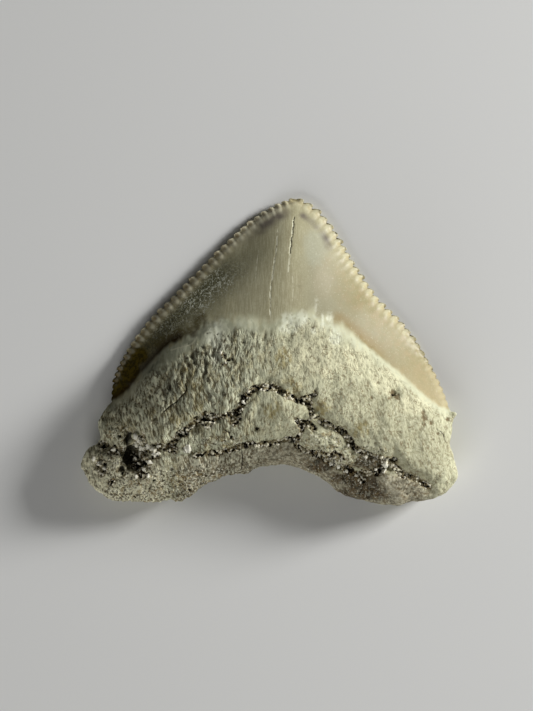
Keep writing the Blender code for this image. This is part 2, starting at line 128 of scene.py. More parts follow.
SIDE_PIT_LINES = [
    (0.25, [(2.3, -6.1), (2.8, -6.7), (3.3, -6.3), (3.9, -6.9)]),
    (0.20, [(2.9, -6.9), (2.5, -7.7), (2.4, -8.1)]),
    (0.18, [(2.8, -4.1), (3.9, -3.9), (4.0, -3.6)]),
    (0.20, [(4.6, -9.4), (5.2, -9.1), (5.8, -9.1), (6.3, -9.5)]),
]
PIT_LINES = [UPPER_PIT_LINE, LOWER_PIT_LINE, *SIDE_PIT_LINES]

# Crumbly patches beside them, as (x, y, radius across, radius along)
PIT_PATCHES = [
    (-11.5, -9.7, 0.95, 0.95), (-11.6, -8.1, 0.60, 0.85), (-10.2, -9.0, 0.55, 0.75),
    (-9.1, -8.7, 1.00, 0.55), (-15.0, -8.5, 0.50, 0.40), (-13.9, -8.9, 0.80, 0.50),
    (-15.2, -10.5, 0.55, 0.80), (-11.5, -11.1, 0.60, 0.35), (-14.2, -11.8, 0.40, 0.35),
    (-5.6, -6.05, 1.05, 0.72), (-3.1, -5.9, 0.55, 0.70), (-4.1, -0.8, 0.30, 0.50),
    (11.0, -10.0, 0.45, 0.60), (6.6, -10.4, 0.80, 0.40), (9.4, -10.8, 0.75, 0.38),
    (8.3, -11.2, 0.45, 0.60), (5.7, -9.5, 0.95, 0.45), (3.3, -4.3, 0.50, 0.35), (4.3, -9.2, 0.90, 0.40),
    (10.1, -10.5, 0.45, 0.50), (7.6, -11.0, 0.60, 0.30), (3.2, -6.4, 0.75, 0.45),
    (-7.8, -7.3, 0.55, 0.40),
]
DARK_HOLLOWS = [
    (-12.40, -9.5, 0.85, 1.15), (-12.6, -7.9, 0.32, 0.80), (-11.6, -10.0, 0.65, 0.40),
    (-13.3, -10.6, 0.35, 0.30),
]

# Where the surface has worn rough, as (x, y, radius across, radius along)
WORN_PLACES = [
    (-14.2, -10.4, 2.9, 2.6), (-10.2, -11.8, 3.0, 1.6), (-13.6, -7.4, 1.4, 1.0), (-4.5, -8.0, 2.5, 0.5),
    (4.4, -8.3, 2.4, 1.4), (8.0, -9.2, 2.6, 1.0),
]

# Single deep holes, as (x, y, radius)
HOLES = [
    (-7.65, -8.60, 0.20), (-1.14, -6.95, 0.21), (-3.38, -7.75, 0.15), (-13.23, -11.05, 0.18),
    (-14.14, -11.82, 0.22), (-11.60, -11.19, 0.22), (-10.37, -11.60, 0.17), (-7.24, -12.50, 0.14),
    (-13.50, -7.60, 0.16), (-2.38, -4.06, 0.26), (-1.40, -3.50, 0.15), (-7.78, -7.42, 0.26),
    (-0.02, -3.18, 0.21), (0.95, -3.70, 0.14), (2.71, -4.33, 0.26), (6.43, -7.15, 0.24),
    (7.29, -8.24, 0.27), (8.88, -9.28, 0.16), (11.06, -9.78, 0.30), (11.60, -10.75, 0.18),
    (12.33, -11.10, 0.16), (13.87, -11.96, 0.15), (-2.20, -8.37, 0.26), (1.98, -8.05, 0.25),
    (2.60, -8.70, 0.15), (3.70, -9.00, 0.20), (4.43, -9.42, 0.24), (5.61, -10.14, 0.25),
    (7.34, -10.69, 0.22), (9.00, -10.90, 0.20), (9.88, -10.60, 0.26), (2.80, -6.69, 0.26),
    (2.39, -6.24, 0.20), (3.30, -6.25, 0.15), (-5.83, -6.06, 0.27), (-3.01, -5.51, 0.24),
    (-6.10, -9.30, 0.20), (-4.70, -9.05, 0.13), (-3.92, -8.93, 0.14), (-3.74, -0.79, 0.18),
    (11.05, -3.85, 0.14),
]
SHALLOW_HOLES = [
    (13.83, -5.97, 0.30), (14.50, -6.37, 0.22), (9.63, -2.76, 0.13), (16.10, -6.15, 0.18),
    (10.95, -3.70, 0.34), (11.35, -4.10, 0.28), (10.65, -4.20, 0.18), (9.00, -4.10, 0.16),
    (13.70, -5.50, 0.24), (13.70, -6.60, 0.16), (15.10, -7.40, 0.15),
]
# Pale crystals and one round nodule, as (x, y, radius)
CRYSTALS = [
    (-2.29, -4.53, 0.19), (-4.33, -0.20, 0.16), (-7.35, -8.65, 0.42), (-11.95, -7.55, 0.27),
    (-11.62, -7.85, 0.20), (-11.38, -8.68, 0.34), (-11.95, -8.40, 0.20), (-11.60, -9.20, 0.18),
    (-10.80, -8.50, 0.24), (-10.35, -8.75, 0.24), (-9.90, -8.45, 0.20), (-10.20, -9.20, 0.24),
    (-10.60, -9.90, 0.20), (-11.20, -10.55, 0.22), (-11.75, -10.05, 0.12), (-12.10, -9.55, 0.12),
    (-10.80, -11.10, 0.20), (-11.90, -11.15, 0.18), (-14.00, -8.90, 0.16), (-13.60, -9.10, 0.14),
    (-15.30, -10.10, 0.20), (-14.80, -10.50, 0.18), (-15.80, -9.70, 0.20), (5.52, -9.96, 0.15),
    (6.14, -10.22, 0.20), (6.86, -10.69, 0.17), (7.72, -11.06, 0.18), (8.22, -11.32, 0.22),
    (8.15, -11.75, 0.12), (6.90, -8.38, 0.13), (7.72, -8.91, 0.18), (10.30, -10.08, 0.24),
    (10.16, -10.80, 0.22), (9.40, -10.50, 0.13), (8.50, -9.42, 0.13), (-15.36, -10.14, 0.16),
    (-9.92, -9.14, 0.18),
]

# Cracks, as (half width, depth, points)
CRACKS = [
    (0.038, 0.10, [
        (2.22, 12.15), (2.13, 11.5), (2.08, 10.7), (1.92, 9.9), (1.89, 9.3), (1.80, 8.8),
    ]),
    (0.030, 0.03, [(0.66, 10.2), (0.36, 7.9), (0.16, 6.3), (0.01, 4.4), (0.01, 3.2)]),
    (0.050, 0.13, [
        (-7.50, -2.9), (-7.45, -3.5), (-8.10, -4.2), (-8.35, -4.5), (-8.95, -4.9), (-9.45, -5.45),
    ]),
    (0.050, 0.10, [(-2.50, -8.8), (-2.45, -9.6), (-2.55, -10.6)]),
    (0.055, 0.12, [(-3.90, -7.0), (-3.60, -7.3), (-3.38, -7.75)]),
    (0.050, 0.06, [(15.0, -6.9), (15.5, -7.4), (15.9, -8.3)]),
]
# Dark folds between the fibres on the left, as (half width, points)
FOLDS = [
    (0.17, [(-5.95, 0.3), (-5.85, -1.0), (-5.60, -2.6), (-5.35, -4.4)]),
    (0.14, [(-7.00, -0.4), (-6.75, -1.4), (-6.70, -2.3)]),
    (0.12, [(-3.30, -0.6), (-3.20, -2.0), (-3.05, -3.4)]),
    (0.12, [(-8.90, -2.2), (-8.95, -3.2), (-9.20, -4.1)]),
]
# Pale scars in the enamel, as (half width, colour, points from top to bottom)
SCARS = {
    "crack_offset": (0.10, (0.78, 0.76, 0.55), [
        (2.14, 12.0), (1.99, 10.7), (1.83, 9.3), (1.72, 8.0), (1.62, 7.1),
    ]),
    "scar_offset": (0.10, (0.88, 0.86, 0.65), [
        (0.70, 11.0), (0.60, 9.15), (0.36, 7.9), (0.16, 6.3), (0.05, 5.5), (0.02, 3.2),
    ]),
    "streak_offset": (0.07, (0.66, 0.64, 0.46), [(-1.02, 9.0), (-1.15, 8.0), (-1.30, 6.4)]),
    "dot_offset": (0.06, (0.66, 0.63, 0.44), [(2.02, 6.6), (2.10, 5.6), (2.05, 4.4)]),
}
# The sharp pale ledge at the collar's left, as (half width, points)
LEDGE = (0.06, [(-8.9, 0.1), (-7.9, 0.35), (-7.0, 0.65), (-6.5, 1.3)])

# Stains along lines, from point to point
BROWN_LINE = [(-14.2, -4.6), (-12.6, -3.4), (-11.0, -1.4), (-9.4, 0.4), (-8.2, 1.2)]
TAN_LINE = [(6.2, 2.9), (7.5, 1.9), (8.7, 1.0), (9.8, 0.1), (11.2, -1.1), (12.6, -2.4)]
PALE_CREST = [(10.2, -11.3), (10.9, -12.3), (11.9, -13.7)]
# Mauve bands near the tip, as (strength, half width, points)
MAUVE_BANDS = [
    (1.0, 0.75, [(1.5, 12.6), (0.3, 11.9), (-0.8, 11.1)]),
    (0.25, 0.9, [(-0.8, 11.1), (-2.5, 9.8)]),
    (0.8, 0.50, [(3.0, 12.3), (3.6, 11.9), (4.3, 11.3)]),
    (0.8, 0.55, [(4.75, 10.7), (5.05, 10.2), (5.35, 9.4)]),
]
# The lower pitted line and the end of the upper one part the dark basal strip from the root
BASAL_LINE = LOWER_PIT_LINE[1][:-1] + UPPER_PIT_LINE[1][-3:]
# Scratched and milky places, as (x, y, radius across, radius along)
SCRATCHED_PLACES = [(-4.9, 6.2, 1.7, 1.3), (-6.6, 4.6, 1.7, 1.1)]
MILKY_PLACES = [
    (-4.9, 1.3, 1.05, 1.65), (2.9, 2.9, 0.55, 0.90), (1.6, 2.9, 0.80, 0.60), (4.2, 4.0, 0.20, 0.80),
    (5.4, 3.1, 0.45, 0.50), (5.8, 1.2, 0.50, 0.80), (-4.9, -0.4, 0.45, 1.0), (4.7, 2.7, 0.16, 1.00),
    (3.9, 1.8, 0.30, 0.40), (1.7, 2.1, 0.90, 0.55),
]
# Other stains, and the painted shade on the root's right, as mask: (how uneven its border is, places)
STAINS_AND_SHADE = {
    "brown_base": (1.0, [
        (-13.6, -3.8, 1.3, 1.7), (-12.7, -1.9, 1.2, 1.3), (-11.8, -0.4, 0.9, 1.0),
    ]),
    "olive_base": (2.0, [(-7.9, 1.4, 1.3, 0.75), (-6.3, 2.6, 0.6, 0.8), (-9.6, 0.8, 1.2, 0.7)]),
    "greenish": (1.0, [(4.0, 9.4, 1.2, 1.7)]),
    "buff": (1.0, [(2.0, 5.4, 1.1, 2.0), (4.7, 6.0, 1.0, 1.5)]),
    "pale": (1.0, [(-1.7, 5.6, 1.5, 2.8), (0.6, 11.5, 1.0, 1.2)]),
    # Painted shade: the root's right side, where the key light falls strongest, is made darker
    "painted_shade_right": (1.0, [
        (13.2, -8.8, 3.2, 3.6), (11.0, -5.4, 3.0, 2.0), (12.6, -12.3, 2.6, 1.3),
        (7.8, -3.8, 2.2, 1.4),
    ]),
    "bright_root": (1.0, [
        (4.0, -0.5, 2.6, 2.2), (3.8, 2.0, 1.4, 1.0), (-15.7, -10.4, 1.0, 2.0),
        (-12.6, -12.6, 3.0, 0.8), (-10.0, -11.2, 1.6, 0.8), (-13.5, -6.0, 1.4, 1.3),
        (7.4, -0.8, 2.0, 1.3), (10.2, -2.6, 2.0, 1.3), (13.0, -4.8, 1.8, 1.0),
    ]),
    "soot": (2.0, [
        (8.2, -12.5, 2.4, 1.3), (6.9, -11.3, 1.6, 0.9), (8.6, -10.0, 1.5, 0.7),
        (4.5, -10.3, 1.3, 0.6),
    ]),
    "ochre": (1.5, [
        (-7.4, -2.6, 0.9, 1.8), (-6.3, -4.2, 0.8, 1.5), (-8.3, -5.8, 1.3, 0.9), (1.9, -3.1, 0.9, 0.8),
        (4.6, -5.0, 0.8, 0.7), (0.2, -5.2, 0.8, 0.8), (-4.0, -8.0, 0.7, 0.6), (-12.8, -7.0, 1.2, 0.8),
        (-8.0, -11.5, 1.4, 0.8), (1.2, -0.6, 0.9, 1.2), (-10.6, -5.2, 0.7, 1.2),
        (8.0, -6.9, 0.9, 0.7),
    ]),
}

# ---- how fine the mesh is --------------------

MERGE_DISTANCE = 0.001
ROUNDED = 1.0  # smoothness of a subdivision: 1 keeps the surface round between its points
UNDERSIDE_SLOPE = -0.6  # a face whose normal's Z is under this is part of the underside
UNDERSIDE_SHARE = 0.5  # of the underside's faces that are kept
# The longest edge that is left uncut in each zone
CROWN_EDGE = 0.34
SERRATION_EDGE = 0.17
ROOT_EDGE = 0.155
PIT_EDGE = 0.10
PATCH_EDGE = 0.11
UNDERSIDE_EDGE = 0.60
ROOT_ZONE_START = -0.4  # below the enamel's end; the root's fine zone reaches onto the enamel
SERRATION_ZONE = 0.9  # width of the fine zone along the cutting edge
SERRATION_ZONE_END = 0.5  # below the enamel's end
PIT_ZONE = 0.45  # half width of the fine zone along a pitted line
PATCH_ZONE = 0.35  # a patch's fine zone is where its ellipse is over this
CRACK_ZONE = 0.25  # half width of the fine zone along a crack
CUT_ROUNDS = 4  # each cuts every edge that is still too long in two
CURVE_STEPS = 5  # straight pieces between two points of a curve
EDGE_STEPS = 40  # the same for a cutting edge, where each serration needs its exact place
FAR = 2.0  # no distance from a line is measured past this
EDGE_REACH = 6.0  # nor from a cutting edge past this, where stains follow it
LINE_REACH = 0.5  # nor from a crack or fold past this
NOISE_HEIGHT = 1.6  # brings the noise up to about 1
CELL_STEP = 31.7  # takes neighbouring cells far apart in the noise that numbers them

# ---- how deep it is carved --------------------

BROAD_FIBRE_DEPTH = 0.050
NARROW_FIBRE_DEPTH = 0.042
FOLD_DEPTH = 0.12
LUMP_DEPTH = 0.085
SMALL_LUMP_DEPTH = 0.045
WORN_DEPTH = 0.075
CREST_HEIGHT = 0.20
PORE_DEPTH = 0.07
GAP_DEPTH = 0.34
SHALLOW_HOLE_DEPTH = 0.12
HOLLOW_DEPTH = 0.50
CRUMB_HEIGHT = 0.14
CRYSTAL_HEIGHT = 0.7  # more, as a share of the crystal's radius
BROKEN_GRAIN = 0.08
DARK_CRACK_DEPTH = 0.08  # a crack that is less deep than this isn't fully dark
SCAR_TAPER = 40.0  # how fast a scar's width shrinks past its ends
BEAD_HEIGHT = 0.04
GROOVE_FILL = 0.10  # of the grooves between the beads, away from the edge
EDGE_SINK = 0.26  # of the cutting edge
SWELL_DEPTH = 0.012

FIBRE_MIDDLE = -4.0  # the y that the lean of the root's fibres turns about
CRUMB_SIZE = 0.34
GAP_SHARE = 0.46  # of the cells of a broken place
CRUMB_START = 0.56  # cells with a number over this are crumbs
PORE_SPACING = 0.62
BEAD_SKEW = 1.35  # as the solid's serrations have it: over 1 puts their tops nearer the root
BEAD_FULLNESS = 0.7
BEAD_MIDDLE = 0.6  # the height of a bead that leaves the surface where it was
SERRATION_LENGTH = 0.8
NUMBER_STEP = 0.618  # gives each serration another number than its neighbours
# Where the border of a round spot starts and where it is full, as shares of the radius
SPOT_BORDER = (1.15, 0.55)
# The same for a stain, as heights of its ellipses
STAIN_BORDER = (0.25, 0.65)


# ---- curves, distances and noise --------------------


def smooth_line(points, pieces=CURVE_STEPS):
    """A Catmull-Rom curve through the points, with this many straight pieces between two of them."""
    points = np.array(points, float)
    padded = np.vstack([2 * points[0] - points[1], points, 2 * points[-1] - points[-2]])
    steps = np.linspace(0.0, 1.0, pieces, endpoint=False)[:, None]
    curve = []
    for before, start, end, after in zip(padded, padded[1:], padded[2:], padded[3:]):
        curve.append(0.5 * (
            2 * start
            + (end - before) * steps
            + (2 * before - 5 * start + 4 * end - after) * steps**2
            + (3 * start - before - 3 * end + after) * steps**3
        ))
    curve.append(points[-1:])
    return np.vstack(curve)


def distance_to(line, x, y, far=FAR):
    """(distance, length along the line) of the nearest place on a line, for each x and y.

    A point that is further away than far gets that distance.
    """
    nearest = np.full(len(x), far)
    along = np.zeros(len(x))
    passed = 0.0
    for (x0, y0), (x1, y1) in zip(line, line[1:]):
        length = math.hypot(x1 - x0, y1 - y0)
        reach = far + length
        near = np.flatnonzero((np.abs(x - x0) < reach) & (np.abs(y - y0) < reach))
        share = ((x[near] - x0) * (x1 - x0) + (y[near] - y0) * (y1 - y0)) / length**2
        share = np.clip(share, 0.0, 1.0)
        gap = np.hypot(x[near] - x0 - share * (x1 - x0), y[near] - y0 - share * (y1 - y0))
        closer = gap < nearest[near]
        nearest[near[closer]] = gap[closer]
        along[near[closer]] = passed + share[closer] * length
        passed += length
    return nearest, along


def gap_to(points, x, y, far=FAR):
    """The distance from the curve through the points."""
    return distance_to(smooth_line(points), x, y, far)[0]


def side_of(points, x, y):
    """The distance from a curve that runs across the tooth: above 0 on the root's side."""
    line = smooth_line(points)
    gap, _ = distance_to(line, x, y)
    return np.where(y < np.interp(x, line[:, 0], line[:, 1]), gap, -gap)


def smoothstep(low, high, value):
    """0 up to low, 1 from high on, and a smooth rise between them. Low may be above high.

    Where the value is an x or y, this is a slope between two places of the tooth.
    """
    share = np.clip((value - low) / (high - low), 0.0, 1.0)
    return share * share * (3 - 2 * share)


def between(span, value):
    """For a span (start, full, full end, end): 1 where it is full, with smooth slopes to 0."""
    start, full, full_end, end = span
    return smoothstep(start, full, value) * smoothstep(end, full_end, value)


def ellipse(shape, x, y):
    """1 in the middle of an ellipse (x, y, radius across, radius along), fading past its radii."""
    middle_x, middle_y, across, along = shape
    return np.exp(-((x - middle_x) / across) ** 2 - ((y - middle_y) / along) ** 2)


def smooth_noise(place, size, stretch=1.0, seed=0.0):
    """Smooth noise from about -1 to 1, with lumps of this size that are stretched along Y."""
    scaled = place / (size, size * stretch, size * stretch) + seed
    return NOISE_HEIGHT * np.array([noise.noise(Vector(point)) for point in scaled])


def cells(place, size, seed=0.0):
    """For each point: the distances to the nearest two cell middles, and its cell's number, 0 to 1."""
    rows = []
    for point in place / size + seed:
        distances, middles = noise.voronoi(Vector(point))
        rows.append((distances[0], distances[1], 0.5 + 0.5 * noise.cell(CELL_STEP * middles[0])))
    nearest, second, number = np.array(rows).reshape(-1, 3).T
    return nearest, second, number


# ---- the fine mesh --------------------


def copy_of_tooth():
    """A copy of the frame's solid, with its loose triangles joined."""
    node = frame["nodes"][NODE]
    bpy.ops.object.select_all(action="DESELECT")
    node.select_set(True)
    bpy.context.view_layer.objects.active = node
    bpy.ops.object.duplicate()
    tooth = bpy.context.object
    tooth.name = tooth.data.name = "tooth"
    del tooth["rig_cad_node"]
    tooth.data.materials.clear()
    bpy.ops.object.mode_set(mode="EDIT")
    bpy.ops.mesh.select_mode(type="FACE")
    bpy.ops.mesh.select_all(action="SELECT")
    bpy.ops.mesh.remove_doubles(threshold=MERGE_DISTANCE * MM)
    bpy.ops.object.mode_set(mode="OBJECT")
    return tooth


def points_and_normals(mesh):
    """The mesh's points in millimetres, and their normals."""
    place, normal = np.empty(3 * len(mesh.vertices)), np.empty(3 * len(mesh.vertices))
    mesh.vertices.foreach_get("co", place)
    mesh.vertices.foreach_get("normal", normal)
    return place.reshape(-1, 3) / MM - (CENTRING, 0.0, 0.0), normal.reshape(-1, 3)


def select_only(mesh, edges=None, faces=None):
    """Selects these edges or faces, given as one True or False for each, and nothing else."""
    no_edges, no_faces = np.zeros(len(mesh.edges), bool), np.zeros(len(mesh.polygons), bool)
    mesh.vertices.foreach_set("select", np.zeros(len(mesh.vertices), bool))
    mesh.edges.foreach_set("select", no_edges if edges is None else edges)
    mesh.polygons.foreach_set("select", no_faces if faces is None else faces)


def thin_underside(tooth):
    """The flat underside needs fewer faces than the rest."""
    normals = np.empty(3 * len(tooth.data.polygons))
    tooth.data.polygons.foreach_get("normal", normals)
    select_only(tooth.data, faces=normals.reshape(-1, 3)[:, 2] < UNDERSIDE_SLOPE)
    bpy.ops.object.mode_set(mode="EDIT")
    bpy.ops.mesh.decimate(ratio=UNDERSIDE_SHARE)
    bpy.ops.object.mode_set(mode="OBJECT")


def longest_edge(place, normal):
    """The longest edge that is left uncut, for each of the given points of the surface."""
    x, y = place[:, 0], place[:, 1]
    below = side_of(ENAMEL_END, x, y)
    longest = np.where(below > ROOT_ZONE_START, ROOT_EDGE, CROWN_EDGE)
    for edge in (LEFT_EDGE, RIGHT_EDGE):
        gap = gap_to(edge, x, y)
        serrated = (gap < SERRATION_ZONE) & (below < SERRATION_ZONE_END)
        longest = np.where(serrated, SERRATION_EDGE, longest)
    for _, line in PIT_LINES:
        gap = gap_to(line, x, y)
        longest = np.where(gap < PIT_ZONE, PIT_EDGE, longest)
    for patch in PIT_PATCHES + DARK_HOLLOWS:
        longest = np.where(ellipse(patch, x, y) > PATCH_ZONE, PATCH_EDGE, longest)
    for _, _, line in CRACKS:
        gap = gap_to(line, x, y)
        longest = np.where(gap < CRACK_ZONE, PIT_EDGE, longest)
    under = smoothstep(-0.1, UNDERSIDE_SLOPE, normal[:, 2])
    return longest * (1 - under) + UNDERSIDE_EDGE * under


def cut_long_edges(tooth):
    """Cuts each edge that is too long for its place in two, and makes triangles of the faces."""
    mesh = tooth.data
    place, normal = points_and_normals(mesh)
    ends = np.empty(2 * len(mesh.edges), int)
    mesh.edges.foreach_get("vertices", ends)
    first, second = ends.reshape(-1, 2).T
    length = np.linalg.norm(place[first] - place[second], axis=1)
    allowed = longest_edge((place[first] + place[second]) / 2, (normal[first] + normal[second]) / 2)
    select_only(mesh, edges=length > allowed)
    bpy.ops.object.mode_set(mode="EDIT")
    bpy.ops.mesh.select_mode(type="EDGE")
    bpy.ops.mesh.subdivide(number_cuts=1, smoothness=ROUNDED)
    bpy.ops.mesh.select_all(action="SELECT")
    bpy.ops.mesh.quads_convert_to_tris(quad_method="BEAUTY", ngon_method="BEAUTY")
    bpy.ops.object.mode_set(mode="OBJECT")


def fine_mesh():
    """The copy of the tooth, with small triangles wherever something fine is carved."""
    tooth = copy_of_tooth()
    thin_underside(tooth)
    for _ in range(CUT_ROUNDS):
        cut_long_edges(tooth)
    return tooth


# ---- carving --------------------


class Skin:
    """The tooth's points in millimetres, and where each of them is on the tooth."""

    def __init__(self, mesh):
        self.mesh = mesh
        self.place, self.normal = points_and_normals(mesh)
        self.x, self.y = self.place[:, 0], self.place[:, 1]
        self.upper = smoothstep(-0.3, 0.2, self.normal[:, 2])
        lingual = side_of(ENAMEL_END, self.x, self.y)
        labial = side_of(LABIAL_ENAMEL_END, self.x, self.y)
        self.below = self.upper * lingual + (1 - self.upper) * labial
        fingers = smooth_noise(self.place, size=0.35, stretch=3.0, seed=4.0)
        fingers *= 1 - 0.75 * smoothstep(6.5, 8.5, self.x)
        fingers *= 1 - 0.70 * smoothstep(-7.5, -9.5, self.x)
        softness = 0.35 + 0.30 * between((-6.5, -5.0, 6.5, 8.5), self.x)
        softness -= 0.15 * smoothstep(7.0, 9.0, self.x)
        self.root = smoothstep(-softness, softness, self.below + 0.35 * fingers)
        collar = np.full(len(self.x), COLLAR_REACH)
        for reach, span in COLLAR_PARTS:
            collar += reach * between(span, self.x) * self.upper
        self.fibrous = smoothstep(-0.4, 0.5, self.below - collar + 0.4 * fingers)
        self.left = smoothstep(3.0, -4.0, self.x)
        self.relief = np.zeros(len(self.x))
        self.sink = np.zeros(len(self.x))

    def keep(self, name, mask):
        """Stores a mask on the points, for the material."""
        self.keep_raw(name, np.clip(mask, 0.0, 1.0))

    def keep_raw(self, name, values):
        """Stores any numbers on the points, for the material."""
        stored = self.mesh.attributes.new(name, "FLOAT", "POINT")
        stored.data.foreach_set("value", values.astype(np.float32))

    def keep_places(self, name, places):
        """Stores coordinates in millimetres on the points, for the material."""
        stored = self.mesh.attributes.new(name, "FLOAT_VECTOR", "POINT")
        stored.data.foreach_set("vector", places.astype(np.float32).ravel())

    def carve(self):
        """Moves the points along their normals by the relief, but never below the floor."""
        carved = self.place + self.relief[:, None] * self.normal + (CENTRING, 0.0, 0.0)
        carved[:, 2] -= self.sink
        carved[:, 2] = np.maximum(carved[:, 2], 0.0)
        self.mesh.vertices.foreach_set("co", (carved * MM).astype(np.float32).ravel())
        self.mesh.update()


def along_fibres(skin):
    """The points with their x measured across the root's fibres, which lean to the right below."""
    lean = 0.16 * smoothstep(-2.0, -8.0, skin.x) + 0.30 * smoothstep(5.0, 15.0, skin.x)
    wander = 0.16 * smooth_noise(skin.place, size=1.3, stretch=2.0, seed=9.0)
    wander += 0.055 * smooth_noise(skin.place, size=0.45, stretch=1.5, seed=10.0)
    flat = skin.place.copy()
    flat[:, 0] = skin.x + lean * (skin.y - FIBRE_MIDDLE) + wander
    return flat


def carve_fibres(skin):
    """Wrinkles that run up and down the root, coarse on the left and fine on the right."""
    flat = along_fibres(skin)
    skin.keep_places("fibre_place", flat)
    broad = smooth_noise(flat, size=0.60, stretch=3.6, seed=1.0)
    narrow = smooth_noise(flat, size=0.22, stretch=2.6, seed=6.0)
    strength = skin.fibrous * (0.35 + 0.65 * skin.left)
    skin.relief += strength * (BROAD_FIBRE_DEPTH * skin.left * broad + NARROW_FIBRE_DEPTH * narrow)
    folds = np.zeros(len(skin.x))
    for half_width, line in FOLDS:
        fold = line_mask(skin, half_width, line) * smoothstep(0.5, -0.2, narrow)
        folds = np.maximum(folds, fold)
    skin.relief -= FOLD_DEPTH * folds
    height = narrow + 0.3 * broad
    skin.keep("folds", folds)
    # The material darkens the low places between the fibres (partly dirt, partly painted shade) and
    # lightens their tops (painted light)
    skin.keep("dirt_and_shade_in_furrows", strength * smoothstep(0.0, -0.55, height))
    skin.keep("painted_light_on_ridges", strength * smoothstep(0.0, 0.6, height))
    skin.keep("fibrous", skin.fibrous)
    skin.keep("coarse", skin.left)


def carve_lumps(skin):
    """Low lumps all over the root, worn places along its lower end, and the pale crest there."""
    lumps = smooth_noise(skin.place, size=1.1, stretch=1.3, seed=3.0)
    small_lumps = smooth_noise(skin.place, size=0.45, stretch=1.3, seed=5.0)
    skin.relief += skin.fibrous * LUMP_DEPTH * lumps
    skin.relief += skin.fibrous * SMALL_LUMP_DEPTH * small_lumps
    low_end = smoothstep(-9.6, -11.2, skin.y + 0.4 * smooth_noise(skin.place, size=1.2, seed=17.0))
    low_end *= 1 - 0.7 * smoothstep(3.0, 6.0, skin.x)
    ragged = 0.15 * smooth_noise(skin.place, size=0.9, seed=18.0)
    worn = skin.upper * np.maximum(low_end, patches(skin, WORN_PLACES, ragged))
    skin.relief += worn * WORN_DEPTH * smooth_noise(skin.place, size=0.26, seed=11.0)
    level = smoothstep(0.3, 0.8, skin.normal[:, 2])
    skin.relief += CREST_HEIGHT * band(PALE_CREST, 0.9, skin) * level
    shown = 1 - 0.5 * smoothstep(11.0, 14.0, skin.x) - 0.7 * smoothstep(-14.0, -15.5, skin.x)
    skin.keep("worn", worn * shown)


def carve_pores(skin):
    """Small holes all over the root, most of them below the crest."""
    chosen = (skin.root > 0.5) & (skin.upper > 0.1)
    nearest, _, number = cells(skin.place[chosen], PORE_SPACING, seed=8.0)
    share = 0.2 + 0.45 * smoothstep(-6.0, -9.5, skin.y[chosen])
    size = 0.13 + 0.10 * number / share
    pores = smoothstep(size, 0.3 * size, nearest) * (number < share)
    skin.relief[chosen] -= PORE_DEPTH * pores
    mask = np.zeros(len(skin.x))
    mask[chosen] = pores
    skin.keep("pores", mask)


def pit_closeness(skin):
    """1 along the pitted lines and in the broken patches, 0 away from them."""
    closeness = np.zeros(len(skin.x))
    for half_width, line in PIT_LINES:
        gap = gap_to(line, skin.x, skin.y)
        closeness = np.maximum(closeness, np.exp(-((gap / half_width) ** 2)))
    for patch in PIT_PATCHES:
        closeness = np.maximum(closeness, 0.9 * ellipse(patch, skin.x, skin.y))
    patchy = 0.85 + 0.5 * smooth_noise(skin.place, size=0.55, seed=2.0)
    return np.clip(closeness * patchy, 0.0, 1.0) * skin.upper * (skin.below > 0)


def spots(skin, places, wobble):
    """1 inside the round spots (x, y, radius), whose outlines are uneven."""
    mask = np.zeros(len(skin.x))
    for middle_x, middle_y, radius in places:
        gap = np.hypot(skin.x - middle_x, skin.y - middle_y) / radius + wobble
        mask = np.maximum(mask, smoothstep(*SPOT_BORDER, gap))
    return mask * skin.upper


def gaps_and_crumbs(skin, broken):
    """Masks of the gaps and of the crumbs that fill the broken places, cell by cell."""
    gaps, crumbs = np.zeros(len(skin.x)), np.zeros(len(skin.x))
    near = broken > 0.0
    nearest, second, number = cells(skin.place[near], CRUMB_SIZE, seed=3.0)
    gaps[near] = np.maximum(
        smoothstep(0.66, 0.34, nearest) * (number < GAP_SHARE),
        0.5 * smoothstep(0.20, 0.0, second - nearest),
    )
    crumbs[near] = smoothstep(0.70, 0.20, nearest) * (number > CRUMB_START)
    return gaps, crumbs


def dark_hollow(skin):
    """1 in the left lobe's hollow, whose border is softer on its left."""
    hollow = np.zeros(len(skin.x))
    for place in DARK_HOLLOWS:
        hollow = np.maximum(hollow, ellipse(place, skin.x, skin.y) * skin.upper)
    hollow += 0.22 * smooth_noise(skin.place, size=0.45, seed=19.0)
    soft = 0.16 * smoothstep(-12.0, -13.0, skin.x)
    return smoothstep(0.30 - soft, 0.70 + soft, hollow)


def carve_pits(skin):
    """Crumbs and deep gaps along the pitted lines, single holes, crystals and the dark hollow."""
    closeness = pit_closeness(skin)
    broken = smoothstep(0.22, 0.50, closeness)
    gaps, crumbs = gaps_and_crumbs(skin, broken)
    wobble = 0.45 * smooth_noise(skin.place, size=0.16, seed=12.0)
    holes = spots(skin, HOLES, wobble)
    crystals = spots(skin, CRYSTALS, 0.9 * wobble)
    shallow = spots(skin, SHALLOW_HOLES, wobble)
    hollow = dark_hollow(skin)
    dark = np.maximum(broken * gaps, holes) * (1 - crystals)
    bare = 1 - hollow * smoothstep(-11.7, -12.3, skin.x)
    pale = np.maximum(broken * crumbs * bare, crystals)
    skin.relief += CRUMB_HEIGHT * pale - GAP_DEPTH * dark
    skin.relief -= SHALLOW_HOLE_DEPTH * shallow * (1 - dark)
    for place in CRYSTALS:
        skin.relief += CRYSTAL_HEIGHT * place[2] * spots(skin, [place], 0.9 * wobble)
    skin.relief -= HOLLOW_DEPTH * hollow * (1 - crystals)
    grain = smooth_noise(skin.place, size=0.2, seed=13.0)
    skin.relief += np.maximum(broken, hollow) * BROKEN_GRAIN * grain
    earthy = np.maximum(smoothstep(0.12, 0.42, closeness), hollow)
    skin.keep("broken", earthy * (1 - hollow * smoothstep(-12.0, -12.6, skin.x)))
    # The material paints the pits and the hollow near black: painted shade in the holes
    skin.keep("pits", dark)
    skin.keep("crumbs", pale)
    skin.keep("crystals", crystals)
    skin.keep("hollow", hollow * (1 - crystals))
    skin.keep("shallow", shallow)


